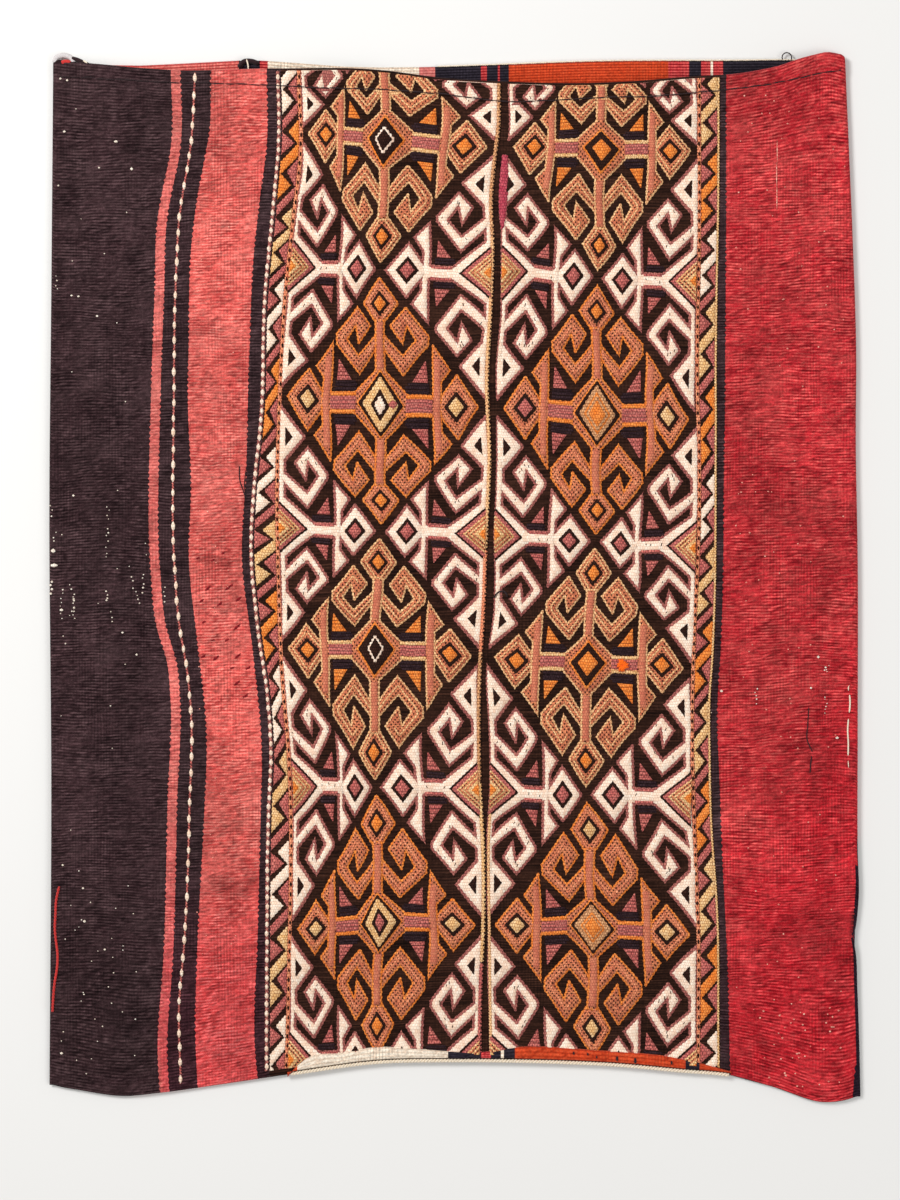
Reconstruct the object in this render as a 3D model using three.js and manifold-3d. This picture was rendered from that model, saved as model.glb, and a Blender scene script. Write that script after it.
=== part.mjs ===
// A chuval, a flat-woven storage sack, lying empty on its back with its mouth at +Y.
// One woven strip is folded at the right side (+X) and sewn along the left side and the bottom.
// Its origin is under the middle of the sack, on the surface that it lies on. Millimetres, +Z up.
import * as THREE from "three";
import { mergeVertices } from "three/addons/utils/BufferGeometryUtils.js";
import Module from "manifold-3d";

const wasm = await Module();
wasm.setup();

// Driving sizes of the sack
const sackWidth = 840;
const sackLength = 1086;
const clothWall = 3;
const layerGap = 10; // slack between the two layers of the empty sack
const foldGap = 2; // slack that is left inside the side folds
const sideTaper = 70; // how far in from a side the slack builds up
const bottomTaper = 160; // how far up from the bottom seam the slack builds up

// Seams, hem and threads
const seamDepth = 14; // front and back sewn flat together along the bottom
const hemDepth = 16; // cloth turned in at the front lip
const hemFold = 2; // thickness that the turned-in cloth adds inside
const lipDepth = 15; // selvedge of the back turned up over the front at the bottom
const lipThickness = 2.4;
const lipOverhang = 1.5; // the turned selvedge reaches this far below the seam
const lipStart = 0.305; // shares of the width between which the selvedge is turned up
const lipEnd = 0.84;
const seatGap = 0.3; // between a thread and the cloth that it is sewn to
const hemThread = 1.8;
const hemThreadDrop = 13; // stitch line below the front lip
const hemThreadStart = 0.147;
const hemThreadEnd = 0.985;
const bottomThread = 2;
const sideThread = 2;
const sideThreadInset = 7; // in from the left seam
const sideThreadFoot = 97; // its ends, measured up from the bottom
const sideThreadTop = 220;
const loopRadius = 5;
const loopThread = 1.2;
const loopPlace = 0.908; // share of the width where the loop is sewn

// Brocaded panel: two columns of figures, in four rows
const brocadeHeight = 1; // how far the brocading wefts stand above the ground weave
const brocadeRoot = 2.2; // how deep they are set into it
const figureClear = 3; // between the hem and the first figures
const centreLine = 5; // plain line between the two columns
const rowSkew = 17; // the rows drop this much across the panel, from left to right

// Outline of the sack: [share of the length, inset from the side]
const leftInset = curve([[0, 0], [0.28, 2], [0.57, 0], [0.78, 2], [1, 4]]);
const rightInset = curve([
  [0, 0], [0.05, 4], [0.14, 8], [0.19, 4.5], [0.34, 3], [0.52, 3], [0.64, 5], [0.72, 4.5], [0.84, 8.5], [1, 16],
]);
// [share of the width, rise of the bottom edge]
const bottomRise = curve([
  [0, 18], [0.012, 15.5], [0.03, 13], [0.088, 6.5], [0.13, 9.5], [0.2, 17.5], [0.31, 31], [0.4, 41], [0.5, 43],
  [0.6, 42], [0.7, 38.5], [0.78, 32.5], [0.845, 27.5], [0.9, 15], [0.96, 0], [0.985, 2], [1, 6],
]);
// [share of the width, drop below the highest corner]
const frontDrop = curve([
  [0, 8], [0.05, 13], [0.15, 20], [0.27, 19], [0.43, 21], [0.48, 27], [0.57, 33],
  [0.67, 32], [0.76, 27], [0.83, 23], [0.89, 14], [0.925, 7], [0.96, 0], [1, 3],
]);
const backDrop = curve([
  [0, 7], [0.07, 13], [0.165, 11], [0.235, 8], [0.39, 15], [0.45, 15], [0.57, 12],
  [0.67, 9], [0.86, 8], [0.92, 6], [0.96, 1], [1, 3],
]);
// Edges of the two brocaded columns: [share of the length, place across the sack]
const columnEdges = [
  curve([
    [0, -172], [0.33, -170], [0.4, -176], [0.54, -181],
    [0.7, -177], [0.84, -166], [0.94, -157], [1, -159],
  ]),
  curve([
    [0, 33], [0.16, 33], [0.3, 30], [0.42, 32], [0.56, 38],
    [0.7, 38], [0.87, 43], [0.93, 49], [1, 48],
  ]),
  curve([
    [0, 250], [0.1, 250], [0.26, 245], [0.33, 242],
    [0.43, 245], [0.58, 250], [0.83, 250], [1, 250],
  ]),
];
// Share of each column at which its figures have their axis
const columnAxis = [0.455, 0.505];
// Heights at the panel's left edge: the lines between rows of figures, and the figures' centres
const rowLines = [48, 331, 592, 864, 1138];
const rowCentres = [186, 473, 728, 1001];

const wool = (color) => new THREE.MeshStandardMaterial({ color, roughness: 0.92, metalness: 0 });
const redWool = wool(0xb43639);
const darkThread = wool(0x241a1c);
const creamThread = wool(0xe8d6bf);
const madderThread = wool(0xa83a36);

// A smooth function through [place, value] points
function curve(points) {
  const places = points.map(([place]) => place);
  const values = points.map(([, value]) => value);
  const through = new THREE.CubicInterpolant(places, values, 1);
  return (place) => through.evaluate(THREE.MathUtils.clamp(place, 0, 1))[0];
}

const lerp = THREE.MathUtils.lerp;
const foldRadius = clothWall + foldGap / 2;
const floorY = -sackLength / 2;

const leftSide = (t) => -sackWidth / 2 + leftInset(t);
const rightSide = (t) => sackWidth / 2 - rightInset(t);
const bottomY = (s) => floorY + bottomRise(s);
const frontLipY = (s) => -floorY - frontDrop(s);
const backRimY = (s) => -floorY - backDrop(s);
const acrossX = (s, t) => lerp(leftSide(t) + foldRadius, rightSide(t) - foldRadius, s);

// Share of the width and of the front's length at a place on the front
function placeOnFront(x, y) {
  let s = x / sackWidth + 0.5;
  let t = 0.5;
  for (let step = 0; step < 4; step++) {
    t = (y - bottomY(s)) / (frontLipY(s) - bottomY(s));
    const left = acrossX(0, t);
    s = (x - left) / (acrossX(1, t) - left);
  }
  return [s, t];
}

// Slack between the layers at a share of the width and a run up from the bottom edge
function slack(s, run) {
  const fromSide = Math.min(s, 1 - s) * sackWidth;
  const side = THREE.MathUtils.smoothstep(fromSide, 0, sideTaper);
  const foot = THREE.MathUtils.smoothstep(run, seamDepth, seamDepth + bottomTaper);
  return lerp(foldGap, layerGap, side) * foot;
}

const frontZ = (s, run) => 2 * clothWall + slack(s, run);

function frontHeight(x, y) {
  const [s] = placeOnFront(x, y);
  return frontZ(s, y - bottomY(s));
}

function solidOf(geometry) {
  const bare = new THREE.BufferGeometry();
  bare.setAttribute("position", geometry.getAttribute("position"));
  bare.setIndex(geometry.getIndex());
  const merged = mergeVertices(bare, 1e-4);
  return new wasm.Manifold(
    new wasm.Mesh({
      numProp: 3,
      vertProperties: new Float32Array(merged.getAttribute("position").array),
      triVerts: new Uint32Array(merged.getIndex().array),
    }),
  );
}

function geometryOf(solid) {
  const mesh = solid.getMesh();
  const geometry = new THREE.BufferGeometry();
  geometry.setAttribute("position", new THREE.BufferAttribute(mesh.vertProperties, 3));
  geometry.setIndex(new THREE.BufferAttribute(mesh.triVerts, 1));
  geometry.computeVertexNormals();
  return geometry;
}

// One ring of the sack's wall at a share of its length: along the back, round the right fold,
// along the front and round the left seam. depth is 0 on the outside and the wall on the inside.
const sideColumns = [0, 0.15, 0.33, 0.5, 0.7, 1].map((part) => (part * sideTaper) / sackWidth);
const columns = [
  ...sideColumns,
  ...[0.2, 0.31, 0.4, 0.5, 0.6, 0.67, 0.76, 0.84, 0.88],
  ...sideColumns.toReversed().map((share) => 1 - share),
];
const foldSteps = 4;

function wallRing(t, depth, hem) {
  const back = columns.map((s) => {
    const y = lerp(bottomY(s), backRimY(s), t);
    return new THREE.Vector3(acrossX(s, t), y, depth);
  });
  const front = columns.map((s) => {
    const y = lerp(bottomY(s), frontLipY(s), t);
    return new THREE.Vector3(acrossX(s, t), y, frontZ(s, y - bottomY(s)) - depth - hem);
  });
  const fold = (from, to, way) => {
    const bend = [];
    for (let step = 1; step < foldSteps; step++) {
      const turn = (Math.PI * step) / foldSteps;
      const point = new THREE.Vector3().lerpVectors(from, to, (1 - Math.cos(turn)) / 2);
      point.x += way * (foldRadius - depth) * Math.sin(turn);
      bend.push(point);
    }
    return bend;
  };
  const last = columns.length - 1;
  return [
    ...back,
    ...fold(back[last], front[last], 1),
    ...front.toReversed(),
    ...fold(front[0], back[0], -1),
  ];
}

// The hollow sack: outer wall, inner wall, mouth rim, and the bottom closed inside and out
function sackWall() {
  const meanLength = frontLipY(0.5) - bottomY(0.5);
  const share = (length) => length / meanLength;
  const body = [0.25, 0.36, 0.47, 0.58, 0.69, 0.8, 0.9];
  const taper = [0, 0.15, 0.3, 0.5, 0.7, 0.85, 1].map((part) => share(seamDepth + part * bottomTaper));
  const outside = [0, ...taper, ...body, 1 - share(hemDepth), 1];
  const inside = [...taper.slice(2), ...body, 1 - share(hemDepth + hemFold)];
  const outer = outside.map((t) => wallRing(t, 0, 0));
  const inner = inside.map((t) => wallRing(t, clothWall, 0));
  inner.push(wallRing(1 - share(hemDepth), clothWall, hemFold), wallRing(1, clothWall, hemFold));

  const points = [...outer, ...inner].flat();
  const around = outer[0].length;
  const faces = [];
  const quad = (a, b, c, d) => faces.push(a, b, c, a, c, d);
  const innerStart = outer.length * around;
  for (let i = 0; i < around; i++) {
    const next = (i + 1) % around;
    for (let j = 0; j < outer.length - 1; j++) {
      const low = j * around;
      quad(low + i, low + around + i, low + around + next, low + next);
    }
    for (let j = 0; j < inner.length - 1; j++) {
      const low = innerStart + j * around;
      quad(low + i, low + next, low + around + next, low + around + i);
    }
    const rimOut = innerStart - around;
    const rimIn = points.length - around;
    quad(rimOut + i, rimIn + i, rimIn + next, rimOut + next);
  }
  const flat = (ring) => ring.map((point) => new THREE.Vector2(point.x, point.z));
  for (const [a, b, c] of THREE.ShapeUtils.triangulateShape(flat(outer[0]), [])) {
    faces.push(a, b, c);
  }
  for (const [a, b, c] of THREE.ShapeUtils.triangulateShape(flat(inner[0]), [])) {
    faces.push(innerStart + a, innerStart + c, innerStart + b);
  }
  const geometry = new THREE.BufferGeometry().setFromPoints(points);
  geometry.setIndex(faces);
  return solidOf(geometry);
}

// The selvedge of the back, turned up over the front and sewn down
function turnedSelvedge() {
  const steps = 14;
  const outline = [];
  for (let step = 0; step <= steps; step++) {
    const s = lerp(lipStart, lipEnd, step / steps);
    outline.push(new THREE.Vector2(acrossX(s, 0), bottomY(s) - lipOverhang));
  }
  const upper = outline.toReversed().map(({ x, y }) => new THREE.Vector2(x, y + lipOverhang + lipDepth));
  const shape = new THREE.Shape([...outline, ...upper]);
  const height = clothWall + lipThickness;
  const strip = new THREE.ExtrudeGeometry(shape, { depth: height, bevelEnabled: false });
  return solidOf(strip.translate(0, 0, clothWall));
}

// One quarter of a figure, in shares of half a column (p) and half a row (q) from its centre.
// The same figure, turned about the middle of the quarter, fills the other side of the lattice.
const hook = [
  [0.03, 0.44], [0.215, 0.225], [0.46, 0.45], [0.468, 0.525], [0.245, 0.73], [0.105, 0.592],
  [0.23, 0.455], [0.266, 0.59], [0.35, 0.485], [0.228, 0.37], [0.03, 0.54],
];
const spine = [
  [0, 0], [0.58, 0], [0.575, 0.19], [0.645, 0.28], [0.495, 0.465], [0.495, 0.085], [0.24, 0.085],
  [0.047, 0.31], [0.047, 0.6], [0, 0.6],
];
const endDiamond = [[0, 0.57], [0.175, 0.75], [0, 0.93]];
const sideDiamond = [[0.6, 0], [0.93, 0], [0.74, 0.225], [0.6, 0.08]];
const quarterFigure = [hook, spine, endDiamond, sideDiamond];

// Place on the front of a quarter's point; way gives the quarter's directions across and up
function placeInCell(column, row, p, q, way) {
  const height = lerp(rowCentres[row], rowLines[way[1] > 0 ? row + 1 : row], q);
  const t = height / sackLength;
  const left = columnEdges[column](t) + (column * centreLine) / 2;
  const right = columnEdges[column + 1](t) + ((column - 1) * centreLine) / 2;
  const axis = lerp(left, right, columnAxis[column]);
  const x = lerp(axis, way[0] > 0 ? right : left, p);
  const panelLeft = columnEdges[0](t);
  const panelShare = (x - panelLeft) / (columnEdges[2](t) - panelLeft);
  return new THREE.Vector2(x, floorY + height - rowSkew * panelShare);
}

// A closed outline raised on the front, following its slope
function raisedOnFront(outline) {
  const ordered = THREE.ShapeUtils.isClockWise(outline) ? outline.toReversed() : outline;
  const prism = new THREE.ExtrudeGeometry(new THREE.Shape(ordered), { depth: 1, bevelEnabled: false });
  const place = prism.getAttribute("position");
  for (let i = 0; i < place.count; i++) {
    const ground = frontHeight(place.getX(i), place.getY(i));
    place.setZ(i, ground + (place.getZ(i) > 0.5 ? brocadeHeight : -brocadeRoot));
  }
  return solidOf(prism);
}

// All the brocaded figures, cut off below the hem
function brocade() {
  const raised = [];
  for (const column of [0, 1]) {
    for (let row = 0; row < rowCentres.length; row++) {
      for (const way of [[1, 1], [1, -1], [-1, 1], [-1, -1]]) {
        for (const outline of quarterFigure) {
          const own = outline.map(([p, q]) => placeInCell(column, row, p, q, way));
          const other = outline.map(([p, q]) => placeInCell(column, row, 1 - p, 1 - q, way));
          raised.push(raisedOnFront(own), raisedOnFront(other));
        }
      }
    }
  }
  const edge = [];
  const panelLeft = columnEdges[0](1) / sackWidth + 0.5;
  const panelRight = columnEdges[2](1) / sackWidth + 0.5;
  for (const s of columns.filter((share) => share > panelLeft - 0.1 && share < panelRight + 0.1)) {
    edge.push(new THREE.Vector2(acrossX(s, 1), frontLipY(s) - hemDepth - figureClear));
  }
  const foot = edge.toReversed().map(({ x }) => {
    const [s] = placeOnFront(x, floorY);
    return new THREE.Vector2(x, bottomY(s) + lipDepth + figureClear);
  });
  const panel = new THREE.ExtrudeGeometry(new THREE.Shape([...foot, ...edge]), {
    depth: sackWidth,
    bevelEnabled: false,
  });
  return wasm.Manifold.union(raised).intersect(solidOf(panel));
}

function sackCloth() {
  return geometryOf(sackWall().add(turnedSelvedge()).add(brocade()));
}

// A round thread along points on the cloth
function thread(points, diameter, steps) {
  const sides = 8;
  const section = new THREE.Shape();
  section.absarc(0, 0, diameter / 2, 0, 2 * Math.PI, false);
  return new THREE.ExtrudeGeometry(section, {
    extrudePath: new THREE.CatmullRomCurve3(points),
    curveSegments: sides / 2,
    steps,
  });
}

const above = (ground, diameter) => ground + seatGap + diameter / 2;

function hemThreadLine() {
  const points = [];
  const stops = 24;
  for (let stop = 0; stop <= stops; stop++) {
    const s = lerp(hemThreadStart, hemThreadEnd, stop / stops);
    const y = frontLipY(s) - hemThreadDrop;
    const x = acrossX(s, 1);
    points.push(new THREE.Vector3(x, y, above(frontHeight(x, y), hemThread)));
  }
  return thread(points, hemThread, 48);
}

function bottomThreadLine() {
  const points = [];
  const stops = 14;
  for (let stop = 0; stop <= stops; stop++) {
    const s = lerp(lipStart, lipEnd, (stop + 0.2) / (stops + 0.4));
    const top = 2 * clothWall + lipThickness;
    const y = bottomY(s) - lipOverhang + bottomThread;
    points.push(new THREE.Vector3(acrossX(s, 0), y, above(top, bottomThread)));
  }
  return thread(points, bottomThread, 36);
}

function sideThreadLine() {
  const points = [];
  const stops = 6;
  for (let stop = 0; stop <= stops; stop++) {
    const y = floorY + lerp(sideThreadFoot, sideThreadTop, stop / stops);
    const x = leftSide((y - floorY) / sackLength) + sideThreadInset;
    points.push(new THREE.Vector3(x, y, above(frontHeight(x, y), sideThread)));
  }
  return thread(points, sideThread, 16);
}

function sewnPiece(name, geometry, material) {
  const mesh = new THREE.Mesh(geometry, material);
  mesh.name = name;
  return mesh;
}

const loop = sewnPiece(
  "thread_loop",
  new THREE.TorusGeometry(loopRadius, loopThread / 2, 8, 24),
  darkThread,
);
loop.position.set(acrossX(loopPlace, 1), backRimY(loopPlace), above(clothWall, loopThread));

const chuval = new THREE.Group();
chuval.add(
  sewnPiece("sack_cloth", sackCloth(), redWool),
  sewnPiece("mouth_hem_thread", hemThreadLine(), darkThread),
  sewnPiece("bottom_seam_thread", bottomThreadLine(), creamThread),
  sewnPiece("side_seam_thread", sideThreadLine(), madderThread),
  loop,
);

export default chuval;
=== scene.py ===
"""Blender scene of a flat-woven storage sack, which lies empty on its back with its mouth towards +Y."""
import math
import random

import bpy
import numpy as np
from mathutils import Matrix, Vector
from mathutils.geometry import delaunay_2d_cdt


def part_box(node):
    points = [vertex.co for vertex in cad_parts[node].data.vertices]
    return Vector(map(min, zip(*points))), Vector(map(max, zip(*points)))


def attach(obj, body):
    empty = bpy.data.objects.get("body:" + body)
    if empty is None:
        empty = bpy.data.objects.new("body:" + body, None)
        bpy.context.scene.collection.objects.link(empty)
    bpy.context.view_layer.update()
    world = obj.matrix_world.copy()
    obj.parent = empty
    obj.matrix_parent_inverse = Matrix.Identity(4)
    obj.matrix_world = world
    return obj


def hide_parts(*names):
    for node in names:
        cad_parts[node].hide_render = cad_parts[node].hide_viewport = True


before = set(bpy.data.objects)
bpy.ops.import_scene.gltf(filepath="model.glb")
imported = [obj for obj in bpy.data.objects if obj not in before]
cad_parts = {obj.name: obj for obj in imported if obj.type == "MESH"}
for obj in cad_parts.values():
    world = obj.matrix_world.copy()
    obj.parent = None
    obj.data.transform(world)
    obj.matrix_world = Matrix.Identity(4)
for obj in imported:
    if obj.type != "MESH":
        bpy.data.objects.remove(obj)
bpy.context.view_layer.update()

# Sizes of the sack in millimetres, as its solid has them
MM = 0.001
cloth_low, cloth_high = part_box("sack_cloth")
SACK_WIDTH = (cloth_high[0] - cloth_low[0]) / MM
SACK_LENGTH = (cloth_high[1] - cloth_low[1]) / MM
FOOT_Y = cloth_low[1] / MM
HEAD_Y = cloth_high[1] / MM
CLOTH_WALL = 3.0
LAYER_GAP = 10.0
FOLD_GAP = 2.0
FOLD_RADIUS = CLOTH_WALL + FOLD_GAP / 2
SIDE_TAPER = 70.0
SEAM_DEPTH = 14.0
BOTTOM_TAPER = 160.0
HEM_DEPTH = 16.0
HEM_FOLD = 2.0
HEM_RISE = 1.3
LIP_THICKNESS = 2.4

# Weave of the cloth
RIB_PITCH = 3.0
RIB_HEIGHT = 0.95
RIB_TOOTH = 0.8
STITCH_WIDTH = 2.5 * MM
STITCH_HEIGHT = 2.9 * MM
DOT_SPACING = (4.7 * MM, 5.2 * MM)
WARP_PITCH = 3.2 * MM
WOOL_GLOSS = 0.05

# Scale and middle of the sack in the photograph
PHOTO_SPAN = 814
PIXEL = SACK_WIDTH / PHOTO_SPAN
PHOTO_MIDDLE = (455, 578)
PHOTO_FRAME = (900, 1200)

# Rounds in which places that depend on each other settle
ROUNDS = 3


# Curves and waves

def curve(points):
    """A smooth line through [place, value] points, level beyond its ends."""
    places, values = np.array(points, float).T
    slopes = np.gradient(values, places)

    def at(place):
        place = np.clip(place, places[0], places[-1])
        span = np.clip(np.searchsorted(places, place, side="right") - 1, 0, len(places) - 2)
        step = places[span + 1] - places[span]
        k = (place - places[span]) / step
        start = values[span] * (1 + 2 * k) * (1 - k) ** 2 + slopes[span] * step * k * (1 - k) ** 2
        end = values[span + 1] * k * k * (3 - 2 * k) - slopes[span + 1] * step * k * k * (1 - k)
        return start + end

    return at


def smooth(value, low, high):
    """0 below low, 1 above high and an easy rise between them."""
    k = np.clip((value - low) / (high - low), 0, 1)
    return k * k * (3 - 2 * k)


def mixed(low, high, share):
    return low + (high - low) * share


def waves(seed, shortest, longest, stretch=1.0, count=14):
    """A gentle random surface of unit size, made of plane waves; stretch lengthens them along Y."""
    draw = random.Random(seed)
    terms = []
    for _ in range(count):
        length = draw.uniform(shortest, longest)
        heading = draw.uniform(0, math.tau)
        pace = math.tau / length
        phase = draw.uniform(0, math.tau)
        terms.append((pace * math.cos(heading), pace * math.sin(heading) / stretch, phase))

    def at(x, y):
        return sum(np.sin(fx * x + fy * y + phase) for fx, fy, phase in terms) / math.sqrt(count / 2)

    return at


def photo_x(x):
    return (x - PHOTO_MIDDLE[0]) * PIXEL


def photo_y(y):
    return (PHOTO_MIDDLE[1] - y) * PIXEL


def photo_line(*points):
    """The x of a line down the cloth at any y, from (x, y) pixels of the photograph, top first."""
    return curve([(photo_y(y), photo_x(x)) for x, y in reversed(points)])


def across_line(*points):
    """The y of a line across the cloth at any x, from (x, y) pixels of the photograph, left first."""
    return curve([(photo_x(x), photo_y(y)) for x, y in points])


def beside(line, pixels):
    """A line that runs at the side of another."""
    return lambda y: line(y) + pixels * PIXEL


# Outline of the sack, within about a centimetre of the solid's: shares of its length or width, and
# millimetres, for the insets of its sides, the rise of its bottom edge and the drops of its two lips
LEFT_INSET = curve([(0, 0), (0.28, 2), (0.57, 0), (0.78, 2), (1, 4)])
RIGHT_INSET = curve([
    (0, 0), (0.02, 0.4), (0.064, 1.8), (0.1, 3.4), (0.13, 4.8), (0.145, 7.4), (0.16, 4.6), (0.186, 2),
    (0.234, 3), (0.34, 3), (0.52, 3), (0.64, 5), (0.72, 4.5), (0.84, 8.5), (1, 16),
])
BOTTOM_RISE = curve([
    (0, 18), (0.012, 15.5), (0.03, 13), (0.088, 6.5), (0.13, 9.5), (0.2, 17.5), (0.31, 31), (0.4, 41),
    (0.5, 43), (0.6, 42), (0.7, 38.5), (0.78, 32.5), (0.845, 27.5), (0.9, 15), (0.96, 0), (0.985, 2), (1, 6),
])
FRONT_DROP = curve([
    (0, 8), (0.05, 13), (0.15, 20), (0.27, 19), (0.43, 21), (0.48, 27), (0.57, 32), (0.7, 32.8),
    (0.745, 31), (0.783, 28.3), (0.825, 26), (0.86, 24.3), (0.895, 20), (0.92, 15.5), (0.947, 7.4),
    (0.966, 3), (0.982, 0.2), (1, 2.5),
])
BACK_DROP = curve([
    (0, 7), (0.07, 13), (0.165, 11), (0.235, 8), (0.39, 15), (0.45, 15),
    (0.57, 12), (0.67, 9), (0.86, 8), (0.95, 8), (1, 11),
])
# Mean heights of the bottom edge and the front's lip, and the shares of the length at which ribs bend to them
FOOT_LEVEL = FOOT_Y + 24
LIP_LEVEL = HEAD_Y - 20
FOOT_BEND = 0.13
LIP_BEND = 0.87


def side_lines(t):
    """Where the flat of the cloth ends at the left and the right, at a share t of the length."""
    left = -SACK_WIDTH / 2 + LEFT_INSET(t) + FOLD_RADIUS
    right = SACK_WIDTH / 2 - RIGHT_INSET(t) - FOLD_RADIUS
    return left, right


def bottom_y(s):
    return FOOT_Y + BOTTOM_RISE(s)


def front_lip_y(s):
    return HEAD_Y - FRONT_DROP(s)


def back_rim_y(s):
    return HEAD_Y - BACK_DROP(s)


def front_y(s, t):
    """Height of a rib of the front, level in the middle and bent along the lip and the bottom edge."""
    foot_bend = 1 - smooth(t, 0, FOOT_BEND)
    lip_bend = smooth(t, LIP_BEND, 1)
    bend = foot_bend * (bottom_y(s) - FOOT_LEVEL) + lip_bend * (front_lip_y(s) - LIP_LEVEL)
    return mixed(FOOT_LEVEL, LIP_LEVEL, t) + bend


def front_share(x, y):
    """Shares of the width and the length of the front at a place on it."""
    t = np.clip((y - FOOT_Y) / SACK_LENGTH, 0, 1)
    for _ in range(ROUNDS):
        left, right = side_lines(t)
        s = np.clip((x - left) / (right - left), 0, 1)
        t = np.clip((y - bottom_y(s)) / (front_lip_y(s) - bottom_y(s)), 0, 1)
    return s, t


# Lines down the front, from photograph pixels: edges of its bands and its panel, and its thin lines
UMBER_EDGE = photo_line(
    (171, 72), (172, 138), (157, 224), (155, 287), (151, 400), (151, 572), (156, 621),
    (168, 667), (171, 701), (168, 800), (164, 949), (157, 1058), (159, 1093))
ROSE_EDGE = beside(UMBER_EDGE, 9.5)
CORAL_LEFT = photo_line(
    (211, 75), (210, 129), (198, 195), (192, 244), (189, 344), (188, 400), (191, 486), (189, 558),
    (199, 653), (207, 744), (205, 800), (199, 920), (195, 1044), (197, 1090))
CORAL_RIGHT = photo_line(
    (267, 75), (267, 143), (260, 201), (254, 258), (250, 344), (246, 472), (242, 560), (253, 653),
    (262, 759), (261, 800), (258, 929), (255, 1058), (257, 1078))
DASH_LINE = photo_line(
    (195, 75), (192, 135), (179, 224), (176, 287), (174, 400), (175, 572), (179, 621), (188, 675),
    (192, 727), (190, 800), (184, 949), (179, 1001), (180, 1090))
BEAD_LINE = photo_line(
    (278, 75), (279, 135), (274, 201), (265, 301), (262, 408), (253, 500), (251, 543), (258, 630),
    (268, 700), (271, 759), (269, 800), (267, 943), (266, 1058))
PANEL_LEFT = photo_line(
    (301, 95), (303, 132), (294, 230), (288, 287), (283, 373), (279, 495), (280, 561), (284, 673),
    (290, 744), (290, 1001), (288, 1067))
CENTRE_LEFT = photo_line(
    (501.5, 86), (500.5, 130), (497, 160), (493.4, 200), (494.8, 240), (493.3, 300), (489.4, 385),
    (491.8, 455), (488.2, 540), (486.2, 600), (481.5, 690), (482, 780), (485.4, 845), (485.8, 920),
    (482.7, 1000), (482, 1060))
CENTRE_RIGHT = photo_line(
    (509, 86), (508.6, 140), (505, 160), (499, 200), (501.8, 240), (501, 300), (497, 380), (497.8, 420),
    (496.2, 470), (494.2, 540), (494.5, 600), (490, 650), (488.3, 690), (490.8, 770), (487.4, 845),
    (488, 920), (489, 1000), (490, 1060))
PANEL_RIGHT = photo_line(
    (697, 95), (697, 244), (695, 387), (697, 457), (697, 515), (692, 644), (690, 744), (692, 814),
    (697, 972), (697, 1030))
STRIPE_LEFT = photo_line(
    (720, 95), (720, 172), (717, 373), (717, 515), (714, 658), (711, 701), (711, 759), (713, 829),
    (718, 900), (721, 1058))
STRIPE_RIGHT = photo_line(
    (726, 95), (726, 258), (725, 373), (724, 457), (721, 644), (717, 716), (719, 773), (725, 915),
    (728, 972), (731, 1073))
FOLD_EDGE = photo_line(
    (839.6, 52), (847, 220), (850.8, 346), (850.3, 430), (852.2, 556), (852.2, 746), (853.4, 860),
    (855, 903), (852.6, 940), (849.6, 952), (852.4, 967), (853.6, 995), (855.2, 1035), (856.2, 1058),
    (856.3, 1066), (855, 1080), (853.8, 1097), (853, 1104))
PANEL_MARGIN = 6.0


def in_panel(x, y):
    """1 on the brocaded panel and 0 beside it."""
    from_left = smooth(x - BEAD_LINE(y), -PANEL_MARGIN, PANEL_MARGIN)
    return from_left * smooth(STRIPE_LEFT(y) - x, -PANEL_MARGIN, PANEL_MARGIN)


# How the slack front lies, in millimetres: broad waves, small puckers and the creases of its storage
BROAD_WAVES = waves(11, 150, 380)
PUCKERS = waves(12, 80, 160)
SMALL_PUCKERS = waves(15, 28, 66)
BROAD_HEIGHT = 1.5
PUCKER_HEIGHT = 0.45
SMALL_PUCKER_HEIGHT = 0.35
FREE_FROM_SIDE = 90.0
FREE_FROM_FOOT = (20.0, 160.0)
HEM_EDGE = 1.2
RIB_WANDER = waves(13, 90, 260)
RIB_JITTER = waves(14, 26, 70)
RIB_CLARITY = waves(16, 22, 75, count=22)
HEM_LINE = across_line(
    (40, 74), (167, 82), (267, 85), (300, 87), (407, 91), (439, 94), (510, 102), (590, 98),
    (653, 96), (725, 90), (760, 85.4), (781, 82), (797, 78.5), (816, 73), (830, 70), (862, 69.5))
CREASES = [
    # ends in photograph pixels, width and depth in millimetres
    ((40, 574), (330, 580), 9.0, 1.3),
    ((700, 700), (764, 636), 12.0, 1.1),
    ((764, 636), (862, 660), 12.0, 0.8),
    ((60, 340), (250, 352), 14.0, 0.7),
    ((300, 575), (700, 590), 16.0, 0.7),
]
# How a crease fades at its start and its end, in millimetres along it
CREASE_START = (-20.0, 40.0)
CREASE_END = (-20.0, 60.0)


def crease_depth(x, y):
    """How far the creases press the cloth down at a place."""
    depth = 0
    for start, end, width, deep in CREASES:
        ax, ay = photo_x(start[0]), photo_y(start[1])
        dx, dy = photo_x(end[0]) - ax, photo_y(end[1]) - ay
        length = math.hypot(dx, dy)
        along = ((x - ax) * dx + (y - ay) * dy) / length
        away = ((x - ax) * dy - (y - ay) * dx) / length
        ends = smooth(along, *CREASE_START) * smooth(length - along, *CREASE_END)
        depth = depth + deep * ends * np.exp(-((away / width) ** 2))
    return depth


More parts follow.
